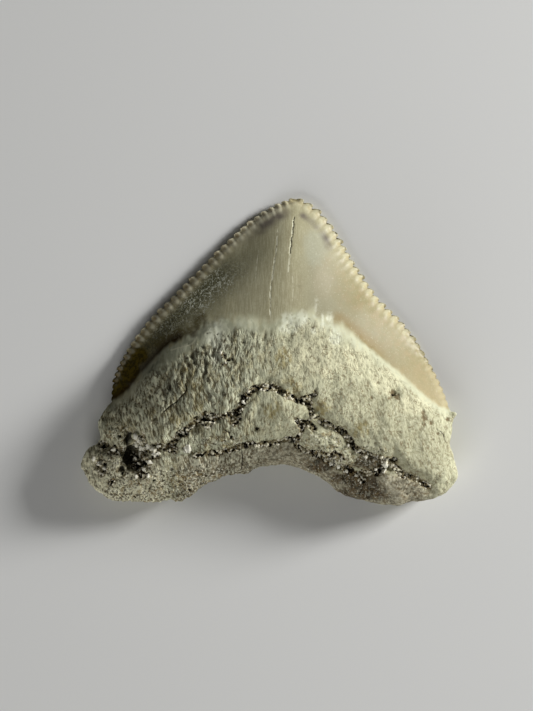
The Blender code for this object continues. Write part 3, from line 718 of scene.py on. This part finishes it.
def line_mask(skin, half_width, line):
    """1 on a thin line that wanders a little, 0 beside it."""
    wander = 0.06 * smooth_noise(skin.place, size=0.35, seed=7.0)
    gap = gap_to(line, skin.x + wander, skin.y + wander, LINE_REACH)
    return np.exp(-((gap / half_width) ** 2)) * skin.upper


def carve_cracks(skin):
    """Cracks, and for the pale scars each point's offset from them."""
    cracks = np.zeros(len(skin.x))
    for half_width, depth, line in CRACKS:
        crack = line_mask(skin, half_width, line)
        skin.relief -= depth * crack
        cracks = np.maximum(cracks, crack * min(1.0, depth / DARK_CRACK_DEPTH))
    skin.keep("cracks", cracks)
    skin.keep("ledge", line_mask(skin, *LEDGE))
    wander = 0.04 * smooth_noise(skin.place, size=0.7, seed=14.0)
    for name, (_, _, line) in SCARS.items():
        line_x, line_y = np.array(line[::-1]).T
        beyond = np.maximum(skin.y - line_y[-1], 0.0) + np.maximum(line_y[0] - skin.y, 0.0)
        offset = skin.x - np.interp(skin.y, line_y, line_x) + wander
        skin.keep_raw(name, offset * (1 + SCAR_TAPER * beyond))


def edge_phase(edge, pitch, x, y):
    """(distance from a cutting edge, number of serrations passed since the tip)."""
    line = smooth_line(edge, EDGE_STEPS)
    gap, along = distance_to(line, x, y)
    steps = np.linalg.norm(np.diff(line, axis=0), axis=1)
    at = np.concatenate([[0.0], np.cumsum(steps)])
    spacing = np.interp(at / at[-1], *zip(*pitch))
    phase = np.concatenate([[0.0], np.cumsum(steps / spacing[1:])])
    phase *= round(phase[-1]) / phase[-1]
    return gap, np.interp(along, at, phase)


def carve_beads(skin):
    """Each serration runs in from the cutting edge as a round bead, with a groove on each side."""
    rim, cups, grooves, lips = (np.zeros(len(skin.x)) for _ in range(4))
    enamel = 1 - skin.root
    at_left = smoothstep(2.4, 0.4, skin.x)
    flat = np.maximum(at_left, smoothstep(2.5, -0.5, skin.y))
    buried = at_left * smoothstep(1.5, -1.5, skin.y)
    shown = 1 - at_left * smoothstep(-2.0, -3.4, skin.y)
    shown *= 1 - 0.75 * (1 - at_left) * smoothstep(2.0, -0.5, skin.y)
    lip_reach = 0.50 + 0.25 * at_left * (1 - buried) - 0.25 * buried
    rim_reach = lip_reach + 0.65 - 0.40 * buried
    for edge, pitch, cup_place, cup_size in CUTTING_EDGES:
        gap, phase = edge_phase(edge, pitch, skin.x, skin.y)
        turn = np.mod(phase, 1.0)
        number = np.mod(NUMBER_STEP * np.floor(phase), 1.0)
        bead = np.sin(math.pi * turn**BEAD_SKEW) ** BEAD_FULLNESS
        fade = smoothstep(1.0, 0.1, gap) * enamel
        fill = GROOVE_FILL * (1 - bead) * flat * smoothstep(0.15, 0.5, gap)
        skin.relief += fade * (BEAD_HEIGHT * (bead - BEAD_MIDDLE) + fill)
        skin.sink += EDGE_SINK * smoothstep(0.55, 0.0, gap) * enamel * skin.upper
        rim = np.maximum(rim, smoothstep(rim_reach, 0.30, gap) * shown)
        grooves = np.maximum(grooves, fade * smoothstep(0.50, 0.20, bead) * shown)
        cup = np.hypot(SERRATION_LENGTH * (turn - cup_place[0]), gap - cup_place[1])
        cup = smoothstep(cup_size, 0.35 * cup_size, cup)
        cups = np.maximum(cups, cup * shown * (0.6 + 0.4 * number))
        inward = LIP_REACH / lip_reach * (gap - LIP_PLACE[1])
        lip = np.hypot(SERRATION_LENGTH * (turn - LIP_PLACE[0]), inward)
        lip = smoothstep(LIP_SIZE, 0.16, lip)
        lips = np.maximum(lips, lip * shown * (0.55 + 0.45 * number))
    skin.keep("rim", rim * enamel)
    skin.keep("cups", cups * skin.upper)
    skin.keep("grooves", grooves)
    skin.keep("lips", lips * enamel)
    skin.keep("left_edge", at_left)
    skin.keep("low_edge", at_left * smoothstep(4.0, -0.5, skin.y))
    # Painted light: the beads high on the left edge are made paler, as if lit from the upper left
    skin.keep("painted_light_high_edge", at_left * smoothstep(8.0, 11.5, skin.y))


def carve_enamel(skin):
    """The enamel is smooth, with slight swells."""
    swells = smooth_noise(skin.place, size=1.6, stretch=1.5, seed=16.0)
    skin.relief += (1 - skin.root) * SWELL_DEPTH * swells


# ---- stains --------------------


def patches(skin, places, ragged):
    """The patch that these ellipses make together, with an uneven border."""
    mask = np.zeros(len(skin.x))
    for place in places:
        mask = np.maximum(mask, ellipse(place, skin.x, skin.y))
    return smoothstep(*STAIN_BORDER, mask + ragged)


def band(points, half_width, skin):
    """1 along the middle of a soft band, 0 past its half width."""
    gap = gap_to(points, skin.x, skin.y)
    return smoothstep(half_width, 0.1 * half_width, gap)


def border_noise(skin):
    """Makes the borders of the stains uneven."""
    ragged = 0.12 * smooth_noise(skin.place, size=0.8, stretch=1.6, seed=21.0)
    ragged += 0.08 * smooth_noise(skin.place, size=0.25, stretch=1.5, seed=22.0)
    return ragged


def keep_crown_stains(skin, ragged):
    """Slate, brown and scratches on the crown's left, tan on its right, mauve by the tip."""
    x, y = skin.x, skin.y
    enamel = skin.upper * (1 - skin.root)
    from_left = gap_to(LEFT_EDGE, x, y, EDGE_REACH)
    from_right = gap_to(RIGHT_EDGE, x, y, EDGE_REACH)
    down_left = smoothstep(11.0, 6.2, y) * smoothstep(2.0, 0.0, x)
    far_left = smoothstep(4.5, 0.0, y) * smoothstep(-4.0, -7.0, x)
    skin.keep("slate", smoothstep(4.8, 1.4, from_left + 2.0 * ragged) * down_left)
    skin.keep("olive", smoothstep(3.8, 1.2, from_left + 2.0 * ragged) * far_left)
    skin.keep("brown_line", band(BROWN_LINE, 0.75, skin) * enamel)
    skin.keep("tan_line", band(TAN_LINE, 1.0, skin) * enamel * smoothstep(12.5, 8.5, x))
    skin.keep("pale_tan", smoothstep(0.5, -3.5, y) * smoothstep(9.0, 12.0, x))
    skin.keep("tan", smoothstep(4.5, 0.5, from_right + 4.0 * ragged) * smoothstep(12.5, 4.0, y))
    skin.keep("dull", smoothstep(2.0, 4.0, x + ragged) * smoothstep(0.6, 2.5, from_right))
    mottled = 0.85 + 0.5 * smooth_noise(skin.place, size=0.7, seed=23.0)
    mauve = sum(
        strength * band(points, half_width, skin) for strength, half_width, points in MAUVE_BANDS
    )
    skin.keep("mauve", skin.upper * mottled * mauve)
    worn_strip = smoothstep(4.6, 2.0, from_left + 3.0 * ragged) * between((0.3, 2.6, 7.0, 10.0), y)
    scratched = patches(skin, SCRATCHED_PLACES, 1.5 * ragged)
    skin.keep("scratched", np.maximum(scratched, 0.45 * worn_strip * down_left))
    skin.keep("striae", between((-6.5, -3.0, 1.5, 4.0), x) * (1 - skin.root))


def keep_collar_stains(skin, ragged):
    """The smooth collar: grey-green on the left, milky in the middle and mint on the right."""
    x = skin.x
    streaks = smoothstep(-0.25, 0.55, smooth_noise(skin.place, size=0.26, stretch=4.0, seed=24.0))
    blotches = smoothstep(-0.3, 0.5, smooth_noise(skin.place, size=0.55, stretch=1.2, seed=25.0))
    middle = smoothstep(-0.5, 0.3, skin.below) * (1 - skin.fibrous)
    middle *= between((-6.5, -5.0, 5.0, 8.5), x)
    milky = patches(skin, MILKY_PLACES, 1.5 * ragged) * (0.6 + 0.4 * streaks)
    skin.keep("milky", np.maximum(0.3 * middle * blotches * (0.3 + 0.7 * streaks), milky))
    smooth_root = smoothstep(-0.1, 0.3, skin.below) * (1 - skin.fibrous)
    at_left = smoothstep(3.0, 1.0, x) * (0.75 + 0.25 * smoothstep(-3.0, -6.0, x))
    skin.keep("collar", smooth_root * at_left)
    skin.keep("mint", smooth_root * smoothstep(1.0, 3.0, x))


def keep_root_stains_and_shade(skin, ragged):
    """Painted shade below the left enamel's end, the pale left lobe, and the dark strip below the
    pitted lines.
    """
    x, y = skin.x, skin.y
    # Painted shade: the root is darker just below the left enamel's end, fading with distance from it
    painted_shade_below_enamel = skin.root * skin.upper * smoothstep(-8.2, -10.5, x)
    skin.keep("painted_shade_below_enamel", painted_shade_below_enamel * smoothstep(1.9, 0.2, skin.below + 4.0 * ragged))
    skin.keep("pale_crest", band(PALE_CREST, 0.5, skin) * skin.upper)
    shoulder = 0.35 * smoothstep(-8.0, -11.0, x) * smoothstep(-1.5, -3.5, y)
    lobe = smoothstep(-8.5, -10.5, x) * smoothstep(-8.0, -9.5, y)
    skin.keep("lobe", np.maximum(lobe, shoulder))
    basal = smoothstep(-0.1, 0.5, side_of(BASAL_LINE, x, y) + ragged)
    skin.keep("basal", skin.upper * basal * between((-9.5, -7.0, 13.0, 16.0), x))


def carve_tooth(tooth):
    """Carves the fine mesh, and keeps the masks that its material reads."""
    skin = Skin(tooth.data)
    carve_fibres(skin)
    carve_lumps(skin)
    carve_pores(skin)
    carve_pits(skin)
    carve_cracks(skin)
    carve_beads(skin)
    carve_enamel(skin)
    ragged = border_noise(skin)
    keep_crown_stains(skin, ragged)
    keep_collar_stains(skin, ragged)
    keep_root_stains_and_shade(skin, ragged)
    for name, (unevenness, places) in STAINS_AND_SHADE.items():
        skin.keep(name, patches(skin, places, unevenness * ragged))
    skin.keep("root", skin.root)
    skin.carve()


# ---- materials --------------------

ENAMEL_ROUGHNESS = 0.42
ROOT_ROUGHNESS = 0.87
SHINE = 0.30
# How much less the dark and broken places shine
DULL_PLACES = {"brown_base": 0.30, "slate": 0.20, "brown_line": 0.30, "soot": 0.20, "broken": 0.25}
# The bump's depth in millimetres, and how much of it each kind of surface has
BUMP_DEPTH = 0.06
ENAMEL_BUMP = 0.03
FINE_BUMP = 0.62  # on the root's right
COARSE_BUMP = 0.97  # on its left


class Nodes:
    """Short ways to add nodes to a material. A mask's name can stand for the mask."""

    def __init__(self, name):
        self.material = bpy.data.materials.new(name)
        self.material.use_nodes = True
        self.tree = self.material.node_tree
        self.shader = self.tree.nodes["Principled BSDF"]
        scale = self.tree.nodes.new("ShaderNodeVectorMath")
        scale.operation = "SCALE"
        scale.inputs["Scale"].default_value = 1 / MM
        self.put(scale.inputs[0], self.tree.nodes.new("ShaderNodeTexCoord").outputs["Object"])
        self.place = scale.outputs["Vector"]

    def put(self, socket, value):
        """Links a mask or an output to a socket, or sets the socket to a number or colour."""
        if isinstance(value, str):
            value = self.stored(value).outputs["Fac"]
        if isinstance(value, bpy.types.NodeSocket):
            self.tree.links.new(value, socket)
        elif isinstance(value, tuple) and len(value) == 3 and len(socket.default_value) == 4:
            socket.default_value = (*value, 1.0)
        else:
            socket.default_value = value

    def stored(self, name):
        """A node with what the points carry under this name."""
        node = self.tree.nodes.new("ShaderNodeAttribute")
        node.attribute_name = name
        return node

    def math(self, operation, first, second=0.0, clamp=True):
        """A sum, product and so on of two numbers, kept between 0 and 1 unless clamp is False."""
        node = self.tree.nodes.new("ShaderNodeMath")
        node.operation = operation
        node.use_clamp = clamp
        self.put(node.inputs[0], first)
        self.put(node.inputs[1], second)
        return node.outputs[0]

    def times(self, first, second):
        """The product of two masks or numbers."""
        return self.math("MULTIPLY", first, second)

    def spread(self, value, low, high):
        """Turns low into 0 and high into 1."""
        node = self.tree.nodes.new("ShaderNodeMapRange")
        node.interpolation_type = "SMOOTHSTEP"
        node.inputs["From Min"].default_value = low
        node.inputs["From Max"].default_value = high
        self.put(node.inputs["Value"], value)
        return node.outputs["Result"]

    def mix(self, factor, first, second):
        """The first colour where the factor is 0, the second where it is 1."""
        node = self.tree.nodes.new("ShaderNodeMix")
        node.data_type = "RGBA"
        self.put(node.inputs["Factor"], factor)
        self.put(node.inputs[6], first)
        self.put(node.inputs[7], second)
        return node.outputs[2]

    def blend(self, factor, first, second):
        """The same for plain numbers."""
        node = self.tree.nodes.new("ShaderNodeMix")
        node.data_type = "FLOAT"
        self.put(node.inputs["Factor"], factor)
        self.put(node.inputs[2], first)
        self.put(node.inputs[3], second)
        return node.outputs[0]

    def layers(self, colour, coats):
        """A base colour with coats (mask, strength, colour) over it, the last one on top."""
        for mask, strength, coat in coats:
            colour = self.mix(self.times(mask, strength), colour, coat)
        return colour

    def scaled(self, size, stretch, place):
        """Coordinates that grow by 1 in each lump of this size in millimetres."""
        mapping = self.tree.nodes.new("ShaderNodeMapping")
        mapping.vector_type = "POINT"
        mapping.inputs["Scale"].default_value = (1 / size, 1 / (size * stretch), 1 / (size * stretch))
        self.put(mapping.inputs["Vector"], place or self.place)
        return mapping.outputs["Vector"]

    def plain_noise(self, size, stretch=1.0, detail=2.0, place=None):
        """Noise around 0.5 with lumps of this size in millimetres, stretched along Y."""
        node = self.tree.nodes.new("ShaderNodeTexNoise")
        node.inputs["Scale"].default_value = 1.0
        node.inputs["Detail"].default_value = detail
        self.put(node.inputs["Vector"], self.scaled(size, stretch, place))
        return node.outputs["Fac"]

    def noise(self, size, stretch=1.0, detail=2.0, low=0.35, high=0.65, place=None):
        """The same noise, where low is turned into 0 and high into 1."""
        return self.spread(self.plain_noise(size, stretch, detail, place), low, high)

    def ragged(self, name, size=0.15, softness=0.06):
        """A mask whose soft border is turned into a crisp and uneven one."""
        half_noise = self.times(self.plain_noise(size, stretch=1.2), 0.5)
        both = self.math("ADD", self.times(name, 0.5), half_noise)
        return self.spread(both, 0.5 - softness, 0.5 + softness)

    def near_zero(self, value, half_width):
        """1 where the value is 0, and 0 where it is further from that than the half width."""
        return self.spread(self.math("ABSOLUTE", value, clamp=False), half_width, 0.3 * half_width)

    def threads(self, size, stretch, width, place=None):
        """1 on the thin winding lines where the noise passes through its middle."""
        noise_value = self.plain_noise(size, stretch, 1.0, place)
        return self.near_zero(self.math("SUBTRACT", noise_value, 0.5, clamp=False), width)

    def grains(self, size, low, high):
        """Round grains of this size in millimetres; each gets a number, spread from low to high."""
        node = self.tree.nodes.new("ShaderNodeTexVoronoi")
        node.inputs["Scale"].default_value = 1.0
        self.put(node.inputs["Vector"], self.scaled(size, 1.0, None))
        parts = self.tree.nodes.new("ShaderNodeSeparateColor")
        self.put(parts.inputs["Color"], node.outputs["Color"])
        chosen = self.spread(parts.outputs["Red"], low, high)
        return self.times(chosen, self.spread(node.outputs["Distance"], 0.62, 0.38))


def bead_colours(nodes):
    """The colours of the rim's beads, lips, cups and grooves, which differ from edge to edge. The paler
    beads high on the left edge are painted light, and the lips are partly painted highlights.
    """
    # Painted light: paler beads high on the left edge
    left_beads = nodes.mix("painted_light_high_edge", (0.50, 0.435, 0.26), (0.80, 0.75, 0.54))
    left_beads = nodes.mix("low_edge", left_beads, (0.25, 0.215, 0.10))
    # Painted highlights: whitish lips on the left edge's beads
    left_lip_highlights = nodes.mix("low_edge", (0.86, 0.82, 0.60), (0.66, 0.63, 0.46))
    beads = nodes.mix("left_edge", (0.58, 0.53, 0.335), left_beads)
    lips = nodes.mix("left_edge", (0.70, 0.66, 0.44), left_lip_highlights)
    cups = nodes.mix("left_edge", (0.50, 0.42, 0.22), (0.20, 0.13, 0.04))
    grooves = nodes.mix("left_edge", (0.36, 0.30, 0.16), (0.20, 0.15, 0.06))
    return beads, lips, cups, grooves


def enamel_colour(nodes):
    """Grey-olive enamel with its striae and stains, and the beads of the serrations."""
    clouds = nodes.noise(size=0.9, stretch=1.8, detail=4.0)
    base = nodes.mix(nodes.times(clouds, 0.5), (0.50, 0.47, 0.29), (0.41, 0.38, 0.235))
    striae = nodes.noise(size=0.13, stretch=9.0, detail=4.0, low=0.38, high=0.66)
    streaky = nodes.mix(striae, (0.42, 0.38, 0.235), (0.64, 0.61, 0.41))
    blush = nodes.noise(size=0.6, stretch=1.2, detail=3.0, low=0.45, high=0.62)
    tan = nodes.mix(blush, (0.345, 0.290, 0.130), (0.395, 0.305, 0.145))
    speckle = nodes.noise(size=0.15, stretch=1.3, detail=3.0, low=0.40, high=0.60)
    slate = nodes.mix(speckle, (0.155, 0.153, 0.085), (0.046, 0.047, 0.026))
    olive = nodes.mix(speckle, (0.10, 0.085, 0.035), (0.05, 0.045, 0.022))
    mottles = nodes.noise(size=0.32, stretch=1.2, detail=5.0, low=0.38, high=0.62)
    brown = nodes.mix(mottles, (0.090, 0.064, 0.008), (0.036, 0.027, 0.006))
    grain = nodes.noise(size=0.11, stretch=1.8, detail=3.0, low=0.40, high=0.62)
    dust = nodes.noise(size=0.12, stretch=1.5, low=0.60, high=0.70)
    scribbles = nodes.threads(size=0.30, stretch=1.4, width=0.065)
    scribbles = nodes.times(scribbles, nodes.noise(size=0.35, low=0.42, high=0.56))
    white_dots = nodes.noise(size=0.17, detail=1.0, low=0.64, high=0.70)
    sparkles = nodes.noise(size=0.21, low=0.63, high=0.68)
    wisps = nodes.noise(size=0.28, stretch=1.6, detail=3.0, low=0.30, high=0.64)
    not_brown = nodes.math("SUBTRACT", 1.0, nodes.times("brown_base", 0.95))
    beads, lips, cups, grooves = bead_colours(nodes)
    return nodes.layers(base, [
        ("dull", 0.80, (0.35, 0.325, 0.21)),
        ("tan", 0.85, tan),
        ("pale_tan", 0.55, (0.50, 0.415, 0.235)),
        ("tan_line", 0.75, (0.33, 0.235, 0.085)),
        ("pale", 0.35, (0.64, 0.61, 0.42)),
        ("greenish", 0.45, (0.42, 0.44, 0.32)),
        ("buff", 0.40, (0.42, 0.37, 0.235)),
        ("striae", 0.50, streaky),
        (grain, 0.16, (0.26, 0.22, 0.12)),
        (dust, 0.35, (0.62, 0.60, 0.43)),
        ("slate", 0.90, slate),
        ("olive", 0.85, olive),
        ("olive_base", 0.75, (0.075, 0.058, 0.012)),
        ("brown_base", 0.95, brown),
        ("brown_line", 0.90, (0.022, 0.011, 0.002)),
        (nodes.times("scratched", scribbles), 1.0, (0.52, 0.53, 0.42)),
        (nodes.times("scratched", sparkles), 1.0, (0.82, 0.82, 0.68)),
        (nodes.times("scratched", white_dots), 0.70, (0.50, 0.50, 0.36)),
        (nodes.times("rim", not_brown), 0.62, beads),
        ("mauve", 0.80, (0.13, 0.105, 0.095)),
        # The lips: the serrations' own cream colour, partly a painted highlight on each bead
        ("lips", 0.75, lips),
        ("grooves", 0.65, grooves),
        ("cups", 0.80, cups),
        (nodes.times("milky", wisps), 0.65, (0.80, 0.80, 0.62)),
    ])


def root_stains_and_shade(nodes):
    """The root's colour with its large stains and painted shade, from the collar down to the lobes."""
    clouds = nodes.noise(size=0.8, stretch=1.6, detail=3.0)
    base = nodes.mix(nodes.times(clouds, 0.5), (0.655, 0.645, 0.43), (0.46, 0.45, 0.285))
    stain = nodes.noise(size=0.55, stretch=2.0, detail=3.0, low=0.48, high=0.62)
    left = nodes.mix(stain, (0.53, 0.555, 0.40), (0.44, 0.385, 0.20))
    ochre = nodes.noise(size=0.35, stretch=2.0, detail=4.0, low=0.38, high=0.60)
    streaks = nodes.noise(size=0.30, stretch=3.5, detail=4.0, low=0.40, high=0.64)
    collar = nodes.mix(streaks, (0.42, 0.43, 0.29), (0.68, 0.69, 0.50))
    mint = nodes.noise(size=0.25, stretch=1.5, detail=4.0, low=0.25, high=0.60)
    mottles = nodes.noise(size=0.30, stretch=1.1, detail=5.0, low=0.43, high=0.58)
    basal = nodes.mix(mottles, (0.44, 0.40, 0.285), (0.096, 0.074, 0.048))
    soot_mottles = nodes.noise(size=0.50, stretch=1.1, detail=5.0, low=0.40, high=0.60)
    soot = nodes.mix(soot_mottles, (0.112, 0.082, 0.051), (0.017, 0.010, 0.005))
    wisps = nodes.noise(size=0.28, stretch=1.6, detail=3.0, low=0.28, high=0.52)
    return nodes.layers(base, [
        ("coarse", 0.60, left),
        # Painted shade on the root's right
        ("painted_shade_right", 0.65, (0.42, 0.405, 0.26)),
        ("bright_root", 0.65, (0.74, 0.71, 0.47)),
        (nodes.times("ochre", ochre), 0.75, (0.38, 0.30, 0.10)),
        ("collar", 0.75, collar),
        # Painted shade below the left enamel's end
        ("painted_shade_below_enamel", 0.85, (0.066, 0.066, 0.039)),
        (nodes.times("mint", mint), 0.70, (0.62, 0.64, 0.47)),
        ("basal", 0.85, basal),
        ("soot", 0.95, soot),
        (nodes.times("milky", wisps), 0.95, (0.93, 0.95, 0.74)),
        ("lobe", 0.80, (0.91, 0.86, 0.60)),
        ("pale_crest", 0.60, (0.62, 0.58, 0.42)),
    ])


def root_colour(nodes, fibres):
    """The stained root with its fibres, specks, worn places and small holes, and painted light and
    shade along the fibres.
    """
    fibre_place = nodes.stored("fibre_place").outputs["Vector"]
    strength = nodes.times("fibrous", nodes.math("ADD", nodes.times("coarse", 0.5), 0.5))
    # Colour that follows the bump's height: painted shade between the fibres and painted light on their
    # tops
    painted_fibre_shade = nodes.times(strength, nodes.spread(fibres, 0.45, 0.15))
    painted_fibre_light = nodes.times(strength, nodes.spread(fibres, 0.55, 0.95))
    crowded = nodes.noise(size=0.9, stretch=1.2, low=0.35, high=0.62)
    crevices = nodes.threads(size=0.40, stretch=4.5, width=0.045, place=fibre_place)
    crevices = nodes.times(crevices, nodes.noise(size=0.5, stretch=1.5, low=0.42, high=0.58))
    crevices = nodes.times(nodes.times(crevices, "fibrous"), "coarse")
    crackle = nodes.threads(size=0.36, stretch=1.7, width=0.045, place=fibre_place)
    crackle = nodes.times(nodes.times(crackle, crowded), nodes.math("SUBTRACT", "fibrous", "coarse"))
    specks = nodes.times(nodes.noise(size=0.14, stretch=1.3, detail=3.0, low=0.57, high=0.66), crowded)
    specks = nodes.times(specks, nodes.math("SUBTRACT", "fibrous", nodes.times("milky", 0.8)))
    flecks = nodes.noise(size=0.16, stretch=1.5, detail=3.0, low=0.60, high=0.68)
    earth = nodes.noise(size=0.42, stretch=1.3, detail=4.0, low=0.54, high=0.66)
    pale_grains = nodes.noise(size=0.15, stretch=1.3, low=0.58, high=0.66)
    worn_pits = nodes.noise(size=0.20, stretch=1.2, detail=4.0, low=0.435, high=0.37)
    pitted = nodes.noise(size=0.75, stretch=1.3, detail=3.0, low=0.30, high=0.55)
    return nodes.layers(root_stains_and_shade(nodes), [
        # Painted light on the fibres' tops, and darkening in the hollows between them: partly dirt,
        # partly painted shade
        ("painted_light_on_ridges", 0.22, (0.74, 0.75, 0.54)),
        ("dirt_and_shade_in_furrows", 0.25, (0.15, 0.125, 0.065)),
        (painted_fibre_light, 0.40, (0.80, 0.80, 0.59)),
        (painted_fibre_shade, 0.80, (0.10, 0.08, 0.035)),
        (crevices, 0.80, (0.06, 0.045, 0.02)),
        ("folds", 0.70, (0.09, 0.075, 0.045)),
        (crackle, 0.60, (0.18, 0.125, 0.055)),
        (specks, 0.75, (0.17, 0.12, 0.055)),
        (nodes.times(flecks, "fibrous"), 0.45, (0.88, 0.86, 0.64)),
        (nodes.times("worn", earth), 0.60, (0.32, 0.225, 0.085)),
        (nodes.times("worn", pale_grains), 0.80, (0.95, 0.92, 0.74)),
        (nodes.times("worn", nodes.times(worn_pits, pitted)), 0.92, (0.040, 0.027, 0.010)),
        ("pores", 0.70, (0.10, 0.075, 0.04)),
        ("shallow", 0.85, (0.18, 0.13, 0.062)),
    ])


def crumbly(nodes, colour):
    """Where the root has broken open: brown earth, black gaps and pale grains. The black of the gaps,
    pits and hollow is painted shade in the holes.
    """
    gaps = nodes.grains(size=0.25, low=0.62, high=0.50)
    grains = nodes.grains(size=0.21, low=0.62, high=0.70)
    return nodes.layers(colour, [
        ("broken", 0.58, (0.20, 0.135, 0.052)),
        # Painted shade: the gaps, pits and hollow are painted near black
        (nodes.times(nodes.ragged("broken"), gaps), 1.0, (0.018, 0.013, 0.007)),
        (nodes.ragged("pits"), 0.96, (0.014, 0.010, 0.006)),
        ("hollow", 0.94, (0.010, 0.008, 0.004)),
        (nodes.ragged("crumbs"), 0.90, (0.80, 0.76, 0.58)),
        (nodes.times(nodes.ragged("broken"), grains), 0.90, (0.94, 0.90, 0.74)),
        (nodes.ragged("crystals"), 1.0, (0.92, 0.89, 0.74)),
    ])


def cracked(nodes, colour):
    """Pale scars in the enamel, which come and go along their lines, and dark cracks."""
    dashes = nodes.noise(size=0.16, stretch=2.6, low=0.40, high=0.54)
    scars = [
        (nodes.times(nodes.near_zero(name, half_width), dashes), 1.0, scar_colour)
        for name, (half_width, scar_colour, _) in SCARS.items()
    ]
    return nodes.layers(colour, scars + [
        ("ledge", 0.90, (0.78, 0.76, 0.55)),
        (nodes.ragged("cracks"), 0.92, (0.035, 0.027, 0.015)),
    ])


def fibre_height(nodes):
    """Fibres, coarse on the left and fine on the right, and crumbs where the root is worn or broken."""
    fibre_place = nodes.stored("fibre_place").outputs["Vector"]
    fine = nodes.noise(size=0.19, stretch=2.0, detail=4.0, low=0.24, high=0.76, place=fibre_place)
    coarse = nodes.noise(size=0.155, stretch=3.8, detail=4.0, low=0.34, high=0.66, place=fibre_place)
    crumbs = nodes.noise(size=0.20, stretch=1.1, detail=3.0, low=0.30, high=0.70)
    fibres = nodes.blend("coarse", fine, coarse)
    return nodes.blend(nodes.math("MAXIMUM", "worn", "broken"), fibres, crumbs)


def fossil_material():
    """Enamel and root in one material, with the surface's finest relief as a bump."""
    nodes = Nodes("fossil_tooth")
    fibres = fibre_height(nodes)
    colour = nodes.mix("root", enamel_colour(nodes), root_colour(nodes, fibres))
    nodes.put(nodes.shader.inputs["Base Color"], cracked(nodes, crumbly(nodes, colour)))
    more_rough = nodes.times("root", ROOT_ROUGHNESS - ENAMEL_ROUGHNESS)
    nodes.put(nodes.shader.inputs["Roughness"], nodes.math("ADD", more_rough, ENAMEL_ROUGHNESS))
    less_shine = 0.0
    for name, share in DULL_PLACES.items():
        less_shine = nodes.math("MAXIMUM", less_shine, nodes.times(name, share))
    nodes.put(nodes.shader.inputs["Specular IOR Level"], nodes.math("SUBTRACT", SHINE, less_shine))
    bump = nodes.tree.nodes.new("ShaderNodeBump")
    bump.inputs["Distance"].default_value = BUMP_DEPTH * MM
    root_bump = nodes.math("ADD", nodes.times("coarse", COARSE_BUMP - FINE_BUMP), FINE_BUMP)
    strength = nodes.math("ADD", nodes.times("fibrous", root_bump), ENAMEL_BUMP)
    nodes.put(bump.inputs["Strength"], strength)
    nodes.put(bump.inputs["Height"], fibres)
    nodes.put(nodes.shader.inputs["Normal"], bump.outputs["Normal"])
    return nodes.material


# ---- floor, camera and light --------------------

VIEW_MIDDLE = (-0.245, -0.40)  # the point at the middle of the view
VIEW_HEIGHT = 64.56  # what the view's long side shows
VIEW_LEVEL = 1.5  # height above the floor that this holds for
LENS = 120.0  # focal length
SENSOR = 36.0  # width of the camera's sensor
NEAREST_SEEN = 1.0
FLOOR_SIZE = 4000.0
FLOOR_COLOUR = (0.75, 0.75, 0.73, 1.0)
FLOOR_ROUGHNESS = 0.9
WHITE = (1.0, 1.0, 1.0, 1.0)
SKY_STRENGTH = 0.03


def make_camera():
    """Looks straight down, with the tooth's tip at the top."""
    camera = bpy.data.objects.new("camera", bpy.data.cameras.new("camera"))
    bpy.context.scene.collection.objects.link(camera)
    bpy.context.scene.camera = camera
    camera.data.lens = LENS
    camera.data.sensor_width = SENSOR
    camera.data.clip_start = NEAREST_SEEN * MM
    distance = VIEW_HEIGHT * LENS / SENSOR
    camera.location = Vector((*VIEW_MIDDLE, VIEW_LEVEL + distance)) * MM


def make_floor():
    """The pale floor that the tooth lies on."""
    bpy.ops.mesh.primitive_plane_add(size=FLOOR_SIZE * MM, location=(0, 0, 0))
    floor = bpy.context.object
    floor.name = "floor"
    material = bpy.data.materials.new("pale_floor")
    material.use_nodes = True
    shader = material.node_tree.nodes["Principled BSDF"]
    shader.inputs["Base Color"].default_value = FLOOR_COLOUR
    shader.inputs["Roughness"].default_value = FLOOR_ROUGHNESS
    floor.data.materials.append(material)


def area_light(name, azimuth, elevation, distance, size, power):
    """A square white light that shines on the tooth: azimuth from +X towards +Y, both in degrees."""
    light = bpy.data.objects.new(name, bpy.data.lights.new(name, "AREA"))
    bpy.context.scene.collection.objects.link(light)
    light.data.size = size * MM
    light.data.energy = power
    turn, rise = math.radians(azimuth), math.radians(elevation)
    towards = Vector((math.cos(turn) * math.cos(rise), math.sin(turn) * math.cos(rise), math.sin(rise)))
    light.location = towards * distance * MM
    light.rotation_euler = towards.to_track_quat("Z", "Y").to_euler()


def make_lights():
    """A low key light from the right, a large soft one from the lower left, and a faint sky."""
    area_light("key", azimuth=22, elevation=22, distance=360, size=90, power=1.6)
    area_light("fill", azimuth=248, elevation=32, distance=450, size=300, power=0.86)
    world = bpy.data.worlds.new("studio")
    world.use_nodes = True
    background = world.node_tree.nodes["Background"]
    background.inputs["Color"].default_value = WHITE
    background.inputs["Strength"].default_value = SKY_STRENGTH
    bpy.context.scene.world = world
    bpy.context.scene.view_settings.view_transform = "Standard"


# ---- the scene --------------------

make_camera()
make_floor()
make_lights()
tooth = fine_mesh()
carve_tooth(tooth)
tooth.data.shade_smooth()
tooth.data.materials.append(fossil_material())
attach(tooth, "root")
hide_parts(NODE)
